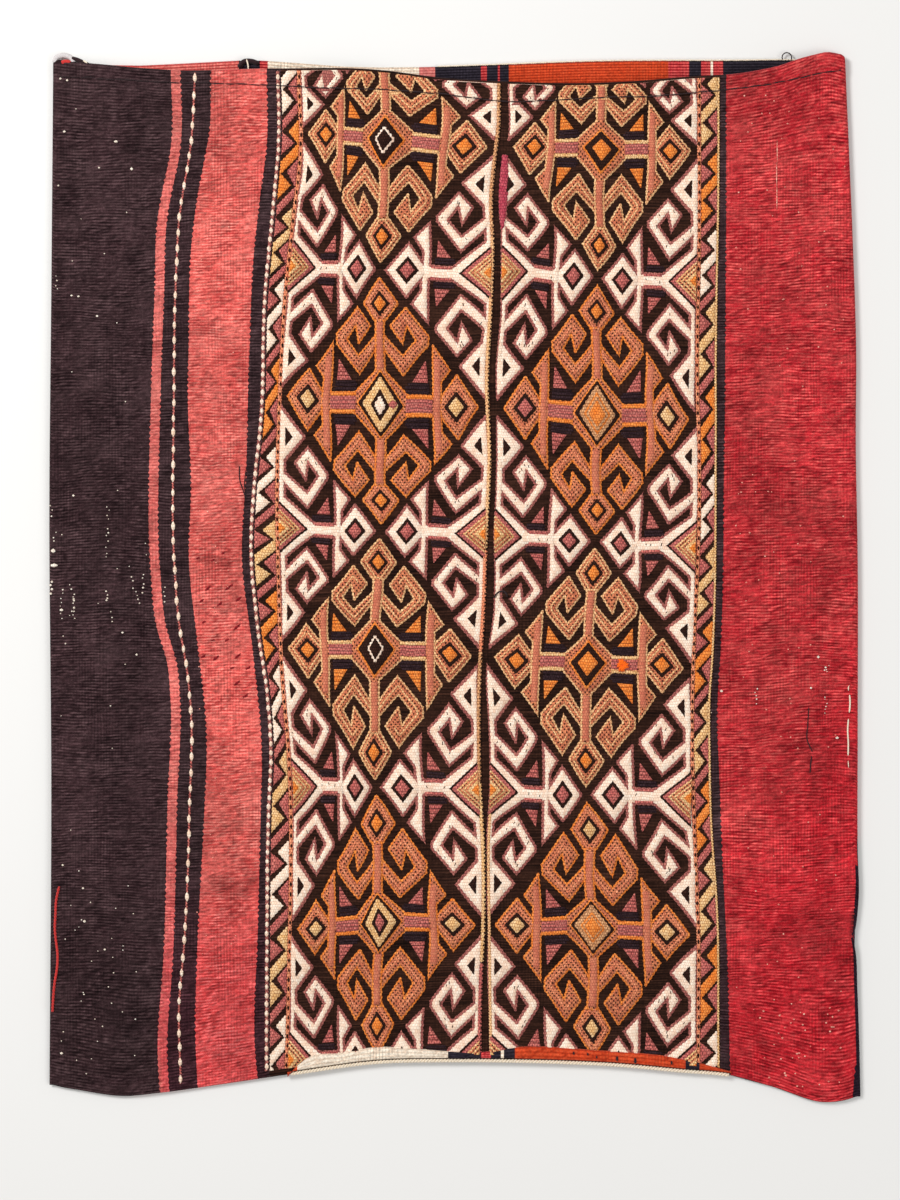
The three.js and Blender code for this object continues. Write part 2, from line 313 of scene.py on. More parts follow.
def front_height(x, y):
    """Height of the outer face of the front, without its ribs."""
    s, t = front_share(x, y)
    left, right = side_lines(t)
    to_side = np.minimum(x - left, right - x)
    run = y - bottom_y(s)
    slack = mixed(FOLD_GAP, LAYER_GAP, smooth(to_side, 0, SIDE_TAPER))
    slack = slack * smooth(run, SEAM_DEPTH, SEAM_DEPTH + BOTTOM_TAPER)
    free = smooth(to_side, 0, FREE_FROM_SIDE) * smooth(run, *FREE_FROM_FOOT)
    lie = BROAD_HEIGHT * BROAD_WAVES(x, y) + PUCKER_HEIGHT * PUCKERS(x, y) - crease_depth(x, y)
    lie = lie + SMALL_PUCKER_HEIGHT * SMALL_PUCKERS(x, y) * (1 - in_panel(x, y))
    hem = HEM_RISE * smooth(y - HEM_LINE(x), -HEM_EDGE, HEM_EDGE)
    return 2 * CLOTH_WALL + slack + free * lie + hem


# Yarn colours as they look in daylight

def yarn(red, green, blue):
    """A colour of 0 to 255 on screen, as the shader's linear one."""
    shares = [value / 255 for value in (red, green, blue)]
    return tuple(v / 12.92 if v <= 0.04045 else ((v + 0.055) / 1.055) ** 2.4 for v in shares) + (1.0,)


# Plain wool: colour of the yarn, of its worn ribs, and the painted shade of its rib troughs, which its stains
# also take
WOOLS = {
    "umber_wool": (yarn(54, 35, 38), yarn(98, 75, 77), yarn(20, 9, 12)),
    "ground_wool": (yarn(48, 27, 19), yarn(78, 49, 38), yarn(20, 9, 7)),
    "coral_wool": (yarn(215, 91, 83), yarn(248, 156, 142), yarn(160, 42, 44)),
    "rose_wool": (yarn(206, 100, 93), yarn(242, 154, 140), yarn(154, 56, 55)),
    "madder_wool": (yarn(195, 40, 49), yarn(240, 112, 104), yarn(118, 8, 20)),
    "navy_wool": (yarn(40, 35, 44), yarn(68, 61, 70), yarn(18, 14, 21)),
    "cream_wool": (yarn(246, 229, 206), yarn(253, 243, 228), yarn(205, 172, 146)),
    "rust_wool": (yarn(208, 66, 30), yarn(228, 100, 60), yarn(148, 38, 18)),
    "blush_wool": (yarn(216, 118, 112), yarn(234, 156, 144), yarn(178, 82, 76)),
}

# Brocading yarn: two tones of its stitches and the shade between them
BROCADES = {
    "cream_brocade": (yarn(255, 238, 218), yarn(247, 212, 185), yarn(208, 156, 126)),
    "gold_brocade": (yarn(240, 188, 122), yarn(250, 212, 158), yarn(166, 102, 58)),
    "orange_brocade": (yarn(245, 133, 50), yarn(254, 158, 78), yarn(168, 74, 28)),
    "brown_brocade": (yarn(200, 108, 79), yarn(230, 142, 98), yarn(58, 27, 20)),
    "stem_brocade": (yarn(200, 108, 84), yarn(218, 132, 100), yarn(142, 72, 54)),
    "pink_brocade": (yarn(200, 102, 95), yarn(218, 126, 114), yarn(106, 46, 46)),
    "fringe_brocade": (yarn(162, 90, 84), yarn(192, 118, 106), yarn(88, 44, 42)),
    "peach_brocade": (yarn(240, 181, 126), yarn(250, 204, 150), yarn(160, 92, 52)),
    "tan_brocade": (yarn(216, 152, 102), yarn(238, 182, 132), yarn(126, 72, 44)),
    "salmon_brocade": (yarn(234, 138, 98), yarn(246, 162, 120), yarn(146, 62, 46)),
    "crimson_brocade": (yarn(184, 64, 82), yarn(204, 92, 102), yarn(116, 30, 46)),
    "navy_brocade": (yarn(46, 29, 33), yarn(60, 42, 46), yarn(20, 11, 14)),
    "dark_brocade": (yarn(46, 26, 19), yarn(58, 34, 27), yarn(20, 10, 8)),
    "faded_brocade": (yarn(238, 150, 132), yarn(246, 186, 166), yarn(214, 110, 98)),
    "bare_brocade": (yarn(248, 240, 226), yarn(238, 224, 204), yarn(220, 196, 176)),
    "fleck_brocade": (yarn(146, 30, 38), yarn(128, 22, 32), yarn(96, 14, 22)),
}

# Sewing thread and loose ends: the yarn and its second ply
THREADS = {
    "dark_thread": (yarn(38, 24, 27), yarn(62, 44, 46)),
    "cream_thread": (yarn(248, 234, 212), yarn(214, 190, 160)),
    "madder_thread": (yarn(204, 58, 54), yarn(168, 36, 38)),
    "orange_thread": (yarn(255, 112, 24), yarn(230, 88, 14)),
    "grey_thread": (yarn(214, 208, 206), yarn(168, 160, 162)),
}


# Grain of the yarns: stretch along X, Y and Z, detail, the range that is spread from 0 to 1, and distortion
WOOL_NOISE = {
    "streak": ((230, 14, 230), 3.0, 0.36, 0.7),
    "fleck": ((300, 380, 300), 2.0, 0.52, 0.74),
    "stain": ((30, 22, 30), 4.0, 0.44, 0.74),
    "fibre": ((1500, 420, 1500), 2.0, 0.3, 0.7),
    "speckle": ((380, 420, 380), 3.0, 0.3, 0.72),
    "fade": ((17, 34, 17), 4.0, 0.46, 0.76),
    "swirl": ((95, 120, 95), 2.0, 0.0, 1.0, 2.2),
    "lean": ((70, 10, 70), 2.0, 0.0, 1.0),
    "warp_place": ((36, 15, 36), 2.0, 0.44, 0.7),
}
STITCH_FIBRE = ((1100, 500, 1100), 2.0, 0.3, 0.7)
STITCH_GRIME = ((40, 40, 40), 4.0, 0.5, 0.8)
THREAD_FIBRE = ((900, 900, 900), 3.0, 0.3, 0.7)
NOISE_ROUGHNESS = 0.6

# Strengths of the effects on plain wool; pairs are a range, or a factor and an offset
CREST_RANGE = (0.4, 0.9)
STREAK_SHARE = (0.75, 0.25)
WORN_FLECKS = 0.7
FADED_WOOL = 0.34
WISPS = 0.34
WISP_WIDTH = 0.032
# The next two set the painted shade in the rib troughs: the span of rib values it covers, and its strength
TROUGH_SHADE_RANGE = (0.1, 0.62)
TROUGH_SHADE_STRENGTH = 0.84
WARP_LEAN = 4 * MM
# Strength of the painted shade along the warp furrows
WARP_FURROW_SHADE = 0.24
FIBRE_GRAIN = (0.2, 0.9)
SPECKLE_GRAIN = (0.62, 0.69)
DEEP_BLUE = (-0.65, 1.0)
WOOL_ROUGHNESS = (0.14, 0.8)

# The same for the brocading stitches and the threads
STITCH_WOBBLE = 0.006
WOBBLE_SCALE = 60.0
MORTAR_SOFTNESS = 0.6
GRIME_SHADE = 0.3
DOT_RANGE = (0.1, 0.62)
STITCH_LIGHTNESS = (0.14, 0.93)
STITCH_FIBRE_HEIGHT = 0.3
STITCH_ROUGHNESS = (0.14, 0.78)
PLY_SLANT = math.radians(38)
PLY_SCALE = 260.0
THREAD_ROUGHNESS = (0.2, 0.7)


# Shader helpers

def add_node(tree, kind, settings=None, sockets=None):
    """A node with its settings, whose sockets get plain values or links."""
    made = tree.nodes.new(kind)
    for name, value in (settings or {}).items():
        setattr(made, name, value)
    for name, value in (sockets or {}).items():
        if isinstance(value, bpy.types.NodeSocket):
            tree.links.new(value, made.inputs[name])
        else:
            made.inputs[name].default_value = value
    return made


def new_group(name, inputs, outputs):
    """An empty node group, its tree and the outlets of its input node."""
    tree = bpy.data.node_groups.new(name, "ShaderNodeTree")
    for title, kind in inputs:
        tree.interface.new_socket(title, in_out="INPUT", socket_type="NodeSocket" + kind)
    for title, kind in outputs:
        tree.interface.new_socket(title, in_out="OUTPUT", socket_type="NodeSocket" + kind)
    return tree, tree.nodes.new("NodeGroupInput").outputs


def group_out(tree, sockets):
    add_node(tree, "NodeGroupOutput", sockets=sockets)


def spread(tree, value, low, high):
    """A value drawn out so that low becomes 0 and high becomes 1."""
    made = add_node(tree, "ShaderNodeMapRange", sockets={"Value": value, "From Min": low, "From Max": high})
    return made.outputs["Result"]


def stretched_noise(tree, stretch, detail, low, high, distortion=0.0):
    """Noise on Object coordinates, drawn out by its three scales and spread from 0 to 1."""
    place = add_node(tree, "ShaderNodeTexCoord").outputs["Object"]
    drawn = add_node(tree, "ShaderNodeMapping", sockets={"Vector": place, "Scale": stretch})
    noise = add_node(tree, "ShaderNodeTexNoise", sockets={
        "Vector": drawn.outputs["Vector"], "Scale": 1.0, "Detail": detail, "Roughness": NOISE_ROUGHNESS,
        "Distortion": distortion})
    return spread(tree, noise.outputs["Fac"], low, high)


def math_node(tree, operation, first, second):
    return add_node(tree, "ShaderNodeMath", {"operation": operation}, {0: first, 1: second}).outputs[0]


# Places of the colour sockets on a Mix node
MIX_FIRST = 6
MIX_SECOND = 7
MIX_RESULT = 2


def blend_colours(tree, factor, first, second):
    """The first colour with a share of the second."""
    made = add_node(tree, "ShaderNodeMix", {"data_type": "RGBA"}, {
        "Factor": factor, MIX_FIRST: first, MIX_SECOND: second})
    return made.outputs[MIX_RESULT]


def offset_product(tree, value, factor, offset):
    """A value times a factor, plus an offset."""
    sockets = {0: value, 1: factor, 2: offset}
    return add_node(tree, "ShaderNodeMath", {"operation": "MULTIPLY_ADD"}, sockets).outputs[0]


def attribute_value(tree, name):
    """A value that the mesh holds at its points."""
    return add_node(tree, "ShaderNodeAttribute", {"attribute_name": name}).outputs["Fac"]


def times(tree, first, second):
    return math_node(tree, "MULTIPLY", first, second)


def less(tree, first, second):
    return math_node(tree, "SUBTRACT", first, second)


def vector_node(tree, operation, sockets):
    return add_node(tree, "ShaderNodeVectorMath", {"operation": operation}, sockets).outputs[0]


GROUP_OUTLETS = [("Color", "Color"), ("Roughness", "Float"), ("Height", "Float")]


def ribbed_wool_group():
    """Weft-faced wool: streaks of the spun yarn, faded ribs, painted shade in the rib troughs and along the
    warp lines, and stains.
    """
    inlets = [("Yarn", "Color"), ("Worn", "Color"), ("Stain and shade", "Color"),
              ("Streaks", "Float"), ("Stains", "Float")]
    tree, given = new_group("Ribbed wool", inlets, GROUP_OUTLETS)
    rib = attribute_value(tree, "rib")
    tone = attribute_value(tree, "tone")
    deep = attribute_value(tree, "deep")
    grain_of = {name: stretched_noise(tree, *noise) for name, noise in WOOL_NOISE.items()}

    # Wear: streaks and flecks on the crests of the ribs, faded places, stains and loose wisps
    crest = spread(tree, rib, *CREST_RANGE)
    share = offset_product(tree, grain_of["streak"], *STREAK_SHARE)
    worn = times(tree, times(tree, share, crest), given["Streaks"])
    colour = blend_colours(tree, worn, given["Yarn"], given["Worn"])
    worn_fleck = times(tree, times(tree, grain_of["fleck"], crest), WORN_FLECKS)
    colour = blend_colours(tree, worn_fleck, colour, given["Worn"])
    colour = blend_colours(tree, times(tree, grain_of["fade"], FADED_WOOL), colour, given["Worn"])
    colour = blend_colours(tree, times(tree, grain_of["stain"], given["Stains"]), colour, given["Stain and shade"])
    wisp = math_node(tree, "ABSOLUTE", less(tree, grain_of["swirl"], 0.5), 0.0)
    wisp = less(tree, 1.0, spread(tree, wisp, 0.0, WISP_WIDTH))
    colour = blend_colours(tree, times(tree, wisp, WISPS), colour, given["Worn"])
    # Painted shade: the colour is darkened towards the stain and shade colour in the troughs between the ribs
    trough_shade = times(tree, less(tree, 1.0, spread(tree, rib, *TROUGH_SHADE_RANGE)), TROUGH_SHADE_STRENGTH)
    colour = blend_colours(tree, trough_shade, colour, given["Stain and shade"])

    # Lightness: painted shade along the warp furrows, fibres, speckles and the tone of the front, which holds
    # painted crease shade; deep wool loses green and blue
    place = add_node(tree, "ShaderNodeTexCoord").outputs["Object"]
    across = add_node(tree, "ShaderNodeSeparateXYZ", sockets={"Vector": place}).outputs["X"]
    across = offset_product(tree, grain_of["lean"], WARP_LEAN, across)
    warp = math_node(tree, "SINE", times(tree, across, math.tau / WARP_PITCH), 0.0)
    furrow_shade = times(tree, times(tree, warp, grain_of["warp_place"]), WARP_FURROW_SHADE)
    grain = less(tree, offset_product(tree, grain_of["fibre"], *FIBRE_GRAIN), furrow_shade)
    grain = times(tree, grain, offset_product(tree, grain_of["speckle"], *SPECKLE_GRAIN))
    lightness = times(tree, tone, grain)
    tint = add_node(tree, "ShaderNodeCombineXYZ", sockets={
        "X": 1.0, "Y": less(tree, 1.0, deep), "Z": offset_product(tree, deep, *DEEP_BLUE)})
    tinted = vector_node(tree, "MULTIPLY", {0: colour, 1: tint.outputs[0]})
    toned = vector_node(tree, "SCALE", {0: tinted, "Scale": lightness})
    rough = offset_product(tree, grain_of["fibre"], *WOOL_ROUGHNESS)
    group_out(tree, {"Color": toned, "Roughness": rough, "Height": grain_of["fibre"]})
    return tree


def brocade_group():
    """Brocading stitches over single warps, each a little lighter or darker, with dark dots between them."""
    inlets = [("Yarn", "Color"), ("Second", "Color"), ("Shade", "Color"), ("Gap", "Float"), ("Dots", "Float")]
    tree, given = new_group("Brocade stitches", inlets, GROUP_OUTLETS)
    place = add_node(tree, "ShaderNodeTexCoord").outputs["Object"]
    wobble = add_node(tree, "ShaderNodeTexNoise", sockets={
        "Vector": place, "Scale": WOBBLE_SCALE, "Detail": 2.0})
    centred = vector_node(tree, "SUBTRACT", {0: wobble.outputs["Color"], 1: (0.5, 0.5, 0.5)})
    shift = vector_node(tree, "SCALE", {0: centred, "Scale": STITCH_WOBBLE})
    moved = vector_node(tree, "ADD", {0: place, 1: shift})
    bricks = add_node(tree, "ShaderNodeTexBrick", {"offset": 0.5, "offset_frequency": 2, "squash": 1.0}, {
        "Vector": moved, "Color1": given["Yarn"], "Color2": given["Second"], "Mortar": given["Shade"],
        "Scale": 1.0, "Mortar Size": given["Gap"], "Mortar Smooth": MORTAR_SOFTNESS, "Bias": 0.0,
        "Brick Width": STITCH_WIDTH, "Row Height": STITCH_HEIGHT})
    fibre = stretched_noise(tree, *STITCH_FIBRE)
    grime = times(tree, stretched_noise(tree, *STITCH_GRIME), GRIME_SHADE)
    colour = blend_colours(tree, grime, bricks.outputs["Color"], given["Shade"])
    axes = add_node(tree, "ShaderNodeSeparateXYZ", sockets={"Vector": moved}).outputs
    columns = math_node(tree, "COSINE", times(tree, axes["X"], math.tau / DOT_SPACING[0]), 0.0)
    rows = math_node(tree, "COSINE", times(tree, axes["Y"], math.tau / DOT_SPACING[1]), 0.0)
    dots = add_node(tree, "ShaderNodeMapRange", {"interpolation_type": "SMOOTHSTEP"}, {
        "Value": times(tree, columns, rows), "From Min": DOT_RANGE[0], "From Max": DOT_RANGE[1]})
    dark = times(tree, dots.outputs["Result"], given["Dots"])
    colour = blend_colours(tree, dark, colour, given["Shade"])
    lightness = offset_product(tree, fibre, *STITCH_LIGHTNESS)
    toned = vector_node(tree, "SCALE", {0: colour, "Scale": lightness})
    crown = less(tree, 1.0, bricks.outputs["Fac"])
    height = offset_product(tree, fibre, STITCH_FIBRE_HEIGHT, crown)
    rough = offset_product(tree, fibre, *STITCH_ROUGHNESS)
    group_out(tree, {"Color": toned, "Roughness": rough, "Height": height})
    return tree


def thread_group():
    """Spun thread: slanting plies and loose fibres."""
    tree, given = new_group("Spun thread", [("Yarn", "Color"), ("Second", "Color")], GROUP_OUTLETS)
    place = add_node(tree, "ShaderNodeTexCoord").outputs["Object"]
    turned = add_node(tree, "ShaderNodeMapping", sockets={"Vector": place, "Rotation": (0, 0, PLY_SLANT)})
    plies = add_node(tree, "ShaderNodeTexWave", {"wave_type": "BANDS", "bands_direction": "X"}, {
        "Vector": turned.outputs["Vector"], "Scale": PLY_SCALE, "Distortion": 2.0, "Detail": 2.0})
    fibre = stretched_noise(tree, *THREAD_FIBRE)
    strength = times(tree, plies.outputs["Fac"], fibre)
    colour = blend_colours(tree, strength, given["Yarn"], given["Second"])
    rough = offset_product(tree, fibre, *THREAD_ROUGHNESS)
    group_out(tree, {"Color": colour, "Roughness": rough, "Height": plies.outputs["Fac"]})
    return tree


SHEEN_ROUGHNESS = 0.5
BUMP_STRENGTH = 0.7


def soft_material(name, group, values, bump, sheen):
    """A wool material: one node group for what varies, and a shader with a soft sheen."""
    material = bpy.data.materials.new(name)
    material.use_nodes = True
    tree = material.node_tree
    shader = tree.nodes["Principled BSDF"]
    shader.inputs["Sheen Weight"].default_value = sheen
    shader.inputs["Sheen Roughness"].default_value = SHEEN_ROUGHNESS
    shader.inputs["Specular IOR Level"].default_value = WOOL_GLOSS
    made = add_node(tree, "ShaderNodeGroup", {"node_tree": group}, values)
    relief = add_node(tree, "ShaderNodeBump", sockets={
        "Height": made.outputs["Height"], "Strength": BUMP_STRENGTH, "Distance": bump})
    tree.links.new(made.outputs["Color"], shader.inputs["Base Color"])
    tree.links.new(made.outputs["Roughness"], shader.inputs["Roughness"])
    tree.links.new(relief.outputs["Normal"], shader.inputs["Normal"])
    return material


RIBBED_WOOL = ribbed_wool_group()
BROCADE_STITCHES = brocade_group()
SPUN_THREAD = thread_group()

# What differs from yarn to yarn, and what the others have
STREAKS = {"madder_wool": 0.95, "coral_wool": 0.9, "umber_wool": 0.9}
STAINS = {"madder_wool": 0.46, "coral_wool": 0.3, "umber_wool": 0.4}
GAPS = {"brown_brocade": 0.16 * MM, "cream_brocade": 0.14 * MM, "stem_brocade": 0.2 * MM}
DOTS = {"brown_brocade": 0.95, "pink_brocade": 0.6, "gold_brocade": 0.3, "orange_brocade": 0.35,
        "tan_brocade": 0.6, "crimson_brocade": 0.4}
DARK_YARNS = {"umber_wool", "ground_wool", "navy_wool", "navy_brocade", "dark_brocade"}
PLAIN_STREAKS = 0.5
PLAIN_STAINS = 0.3
PLAIN_GAP = 0.28 * MM
WOOL_BUMP = 0.5 * MM
THREAD_BUMP = 0.3 * MM
WOOL_SHEEN = 0.06
DARK_SHEEN = 0.02
THREAD_SHEEN = 0.15


def wool_sheen(title):
    return DARK_SHEEN if title in DARK_YARNS else WOOL_SHEEN


materials = {}
for title, (main, worn, trough_shade) in WOOLS.items():
    materials[title] = soft_material(title, RIBBED_WOOL, {
        "Yarn": main, "Worn": worn, "Stain and shade": trough_shade, "Streaks": STREAKS.get(title, PLAIN_STREAKS),
        "Stains": STAINS.get(title, PLAIN_STAINS)}, WOOL_BUMP, wool_sheen(title))
for title, (main, second, shade) in BROCADES.items():
    materials[title] = soft_material(title, BROCADE_STITCHES, {
        "Yarn": main, "Second": second, "Shade": shade, "Gap": GAPS.get(title, PLAIN_GAP),
        "Dots": DOTS.get(title, 0.0)}, WOOL_BUMP, wool_sheen(title))
for title, (main, second) in THREADS.items():
    materials[title] = soft_material(
        title, SPUN_THREAD, {"Yarn": main, "Second": second}, THREAD_BUMP, THREAD_SHEEN)


# Finished pieces

def make_piece(name, points, faces, yarns, face_yarns=None, attributes=None):
    """A mesh object from points in millimetres, with its materials, carried by the sack's one body."""
    mesh = bpy.data.meshes.new(name)
    mesh.from_pydata((np.asarray(points) * MM).tolist(), [], faces)
    for title in yarns:
        mesh.materials.append(materials[title])
    if face_yarns is not None:
        mesh.polygons.foreach_set("material_index", np.asarray(face_yarns, np.int32))
    for title, values in (attributes or {}).items():
        mesh.attributes.new(title, "FLOAT", "POINT").data.foreach_set("value", np.asarray(values, np.float32))
    mesh.polygons.foreach_set("use_smooth", np.ones(len(faces), bool))
    mesh.validate()
    mesh.update()
    piece = bpy.data.objects.new(name, mesh)
    bpy.context.scene.collection.objects.link(piece)
    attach(piece, "root")
    return piece


# Bands of the front and the back

FRONT_BANDS = [
    # yarn, columns of faces, line at the right
    ("umber_wool", 24, UMBER_EDGE),
    ("rose_wool", 2, ROSE_EDGE),
    ("umber_wool", 4, CORAL_LEFT),
    ("coral_wool", 13, CORAL_RIGHT),
    ("umber_wool", 3, beside(BEAD_LINE, 3)),
    ("ground_wool", 20, STRIPE_LEFT),
    ("umber_wool", 1, STRIPE_RIGHT),
    ("madder_wool", 24, FOLD_EDGE),
    ("madder_wool", 1, None),
]

BACK_BANDS = [
    # yarn, columns of faces, right end at the mouth and at the bottom in photograph pixels
    ("umber_wool", 2, 106, 130),
    ("coral_wool", 4, 238, 268),
    ("navy_wool", 1, 259, 289),
    ("madder_wool", 1, 267, 297),
    ("cream_wool", 4, 419, 440),
    ("blush_wool", 1, 435, 448),
    ("navy_wool", 1, 481, 481),
    ("madder_wool", 1, 487, 491),
    ("navy_wool", 1, 498, 500),
    ("madder_wool", 1, 500, 502),
    ("navy_wool", 1, 509, 515),
    ("rust_wool", 4, 669, 684),
    ("madder_wool", 1, 690, 688),
    ("navy_wool", 1, 702, 700),
    ("madder_wool", 1, 711.5, 712),
    ("cream_wool", 1, 714, 714.5),
    ("madder_wool", 1, 724, 731),
    ("navy_wool", 3, None, None),
]

# Where the back's navy wool comes round the right fold: top and foot in photograph pixels, and the first of
# its columns of faces, counted from the end of the front
NAVY_EDGES = [(838, 866, 1), (866, 1066, 0), (1066, 1110, -1)]

# Stains, faded places and painted shade along creases and wrinkles of the front: middle and half sizes in
# photograph pixels, and change of lightness
STAIN_AND_SHADE_SPOTS = [
    # painted shade: the dark spots along creases and wrinkles, at (214, 561), (230, 889), (732, 675), (775,
    # 640), (800, 500) and (790, 925)
    (732, 675, 14, 20, -0.3), (775, 640, 20, 26, -0.22), (800, 500, 40, 24, -0.12), (790, 925, 50, 18, -0.16),
    (745, 300, 16, 60, -0.12), (830, 300, 20, 90, 0.1), (770, 160, 18, 60, 0.08), (832, 140, 20, 80, 0.14),
    (740, 1000, 24, 60, 0.1), (214, 561, 17, 5.5, -0.3), (225, 640, 20, 60, -0.06), (230, 889, 40, 15, -0.3),
    (225, 1010, 30, 70, 0.06), (225, 150, 30, 90, 0.06), (172, 80, 8, 8, -0.25), (100, 500, 60, 70, -0.1),
    (100, 640, 60, 50, 0.14), (80, 820, 40, 90, 0.06), (110, 980, 50, 60, -0.08), (823, 690, 7, 40, -0.16),
    (740, 120, 10, 40, -0.1), (800, 190, 14, 24, -0.18), (845, 160, 8, 60, 0.14), (845, 480, 8, 90, 0.12),
    (795, 390, 34, 60, -0.09), (800, 600, 30, 60, -0.06), (810, 880, 40, 60, -0.05),
    (825, 590, 24, 60, -0.13), (828, 760, 28, 110, -0.09), (790, 950, 40, 50, -0.08),
    (785, 340, 26, 40, -0.07), (825, 160, 24, 100, 0.06), (785, 690, 24, 50, 0.06), (225, 960, 30, 60, -0.05),
]
BAND_TONES = waves(21, 60, 200, stretch=2.5)
PATCH_TONES = waves(22, 16, 48, count=24)
BAND_TONE_SIZE = 0.075
PATCH_TONE_SIZE = 0.055


def front_tone(x, y):
    """Lightness of the front at a place, about 1, with stains, faded places and painted shade along creases
    and wrinkles.
    """
    tone = 1 + BAND_TONE_SIZE * BAND_TONES(x, y) + PATCH_TONE_SIZE * PATCH_TONES(x, y)
    for px, py, wide, tall, change in STAIN_AND_SHADE_SPOTS:
        reach = ((x - photo_x(px)) / (wide * PIXEL)) ** 2 + ((y - photo_y(py)) / (tall * PIXEL)) ** 2
        tone = tone + change * np.exp(-reach)
    return tone


# Depth of colour near the bottom, where the coral and red wool is less faded
DEEP_COLOUR = 0.34
DEEP_RUN = 190.0
CORAL_DEEP_TOP = 820
RED_DEEP_TOPS = (860, 560)


def front_deep(x, y):
    """How deep the colour of the wool is, 0 where it is faded; on the red it starts higher at the right."""
    share = np.clip((x - STRIPE_RIGHT(y)) / (FOLD_EDGE(y) - STRIPE_RIGHT(y)), 0, 1)
    red = smooth(photo_y(mixed(*RED_DEEP_TOPS, share)) - y, 0, DEEP_RUN) * (x > STRIPE_RIGHT(y))
    coral = smooth(photo_y(CORAL_DEEP_TOP) - y, 0, DEEP_RUN) * (x > UMBER_EDGE(y)) * (x < BEAD_LINE(y))
    return DEEP_COLOUR * (red + coral)


# The sack: one closed cloth of rings, out of the bottom edge, up to the mouth, over its lips and down inside

FRONT_COLUMNS = sum(columns for _, columns, _ in FRONT_BANDS)
FOLD_ANGLES = np.radians([45, 0, -45])
# Length without ribs at the lip and the bottom edge together, and a first guess at each of them
ENDS_LENGTH = 50
END_MARGIN = 20
ROWS = 2 * round((SACK_LENGTH - ENDS_LENGTH) / RIB_PITCH)
INSIDE_ROWS = 24
INSIDE_DEEP_ROWS = 13
INSIDE_FOOT = 0.04
RIM_ROUND = 1.4
RIM_RIB = 0.6
SEAM_ROUND = 6.0
SEAM_PINCH = 0.3

# How hand-spun yarn varies: heights of crests and troughs, tone, course of the ribs and their clarity
# The crest and trough values go to the rib attribute, which sets the wear of the crests and the painted shade
# in the troughs
CRESTS = (0.45, 1.0)
TROUGHS = (0.0, 0.4)
UNEVEN_WOOL = 0.26
UNEVEN = {"umber_wool": 0.24}
UNEVEN_LIMIT = 1.8
RIB_WANDER_SIZE = 1.1
RIB_JITTER_SIZE = 0.4
LEVEL_ENDS = 0.03
RIB_SWELL = 0.25
SWELL_TURNS = 37.0
SWELL_LENGTH = 19
PANEL_CALM = 0.5
TOOTH_SIZE = (0.7, 0.5)
TOOTH_PACE = 91.0
CLARITY = (0.8, 0.3)
CLARITY_RANGE = (0.25, 1.2)
HEM_STEP = 2


def front_places(t):
    """Columns of points on the front that follow its bands, at rows of shares t of its length."""
    y = mixed(FOOT_Y + END_MARGIN, HEAD_Y - END_MARGIN, t[:, None]) + np.zeros(FRONT_COLUMNS + 1)
    left, right = side_lines(t[:, None])
    edges = set()
    for _ in range(ROUNDS):
        x = np.zeros_like(y)
        x[:, :1] = left
        column = 1
        line = None
        for _, columns, next_line in FRONT_BANDS:
            own = slice(column, column + columns)
            start = line(y[:, own]) if line else left
            end = next_line(y[:, own]) if next_line else right
            x[:, own] = mixed(start, end, np.arange(1, columns + 1) / columns)
            column += columns
            line = next_line
            edges.add(column - 1)
        s = (x - left) / (right - left)
        y = front_y(s, t[:, None])
    return x, y, sorted(edges - {FRONT_COLUMNS})


def back_places(t):
    """Columns of points on the back, from left to right, that follow its bands."""
    left, right = side_lines(t[:, None])
    x = [left]
    start = left
    for _, columns, mouth, foot in BACK_BANDS:
        end = mixed(photo_x(foot), photo_x(mouth), t[:, None]) if mouth else right
        x.extend(mixed(start, end, k / columns) for k in range(1, columns + 1))
        start = end
    x = np.concatenate(x, axis=1)
    s = (x - left) / (right - left)
    return x, mixed(bottom_y(s), back_rim_y(s), t[:, None])


def rib_contrast(x, y):
    """How clearly the ribs show at a place, about 0.8."""
    return np.clip(CLARITY[0] + CLARITY[1] * RIB_CLARITY(x, y), *CLARITY_RANGE)


def fold_places(front, back, reach):
    """Points round a side, from the front's last column to the back's."""
    columns = []
    for angle in FOLD_ANGLES:
        share = (1 + math.sin(angle)) / 2
        point = mixed(back, front, share)
        point[:, 0] += reach * math.cos(angle)
        columns.append(point)
    return np.stack(columns, axis=1)


def pinched(height, run):
    """The height of a layer, drawn to the seam within a few millimetres of the bottom edge."""
    share = SEAM_PINCH + (1 - SEAM_PINCH) * np.sqrt(1 - (1 - np.clip(run / SEAM_ROUND, 0, 1)) ** 2)
    return CLOTH_WALL + (height - CLOTH_WALL) * share


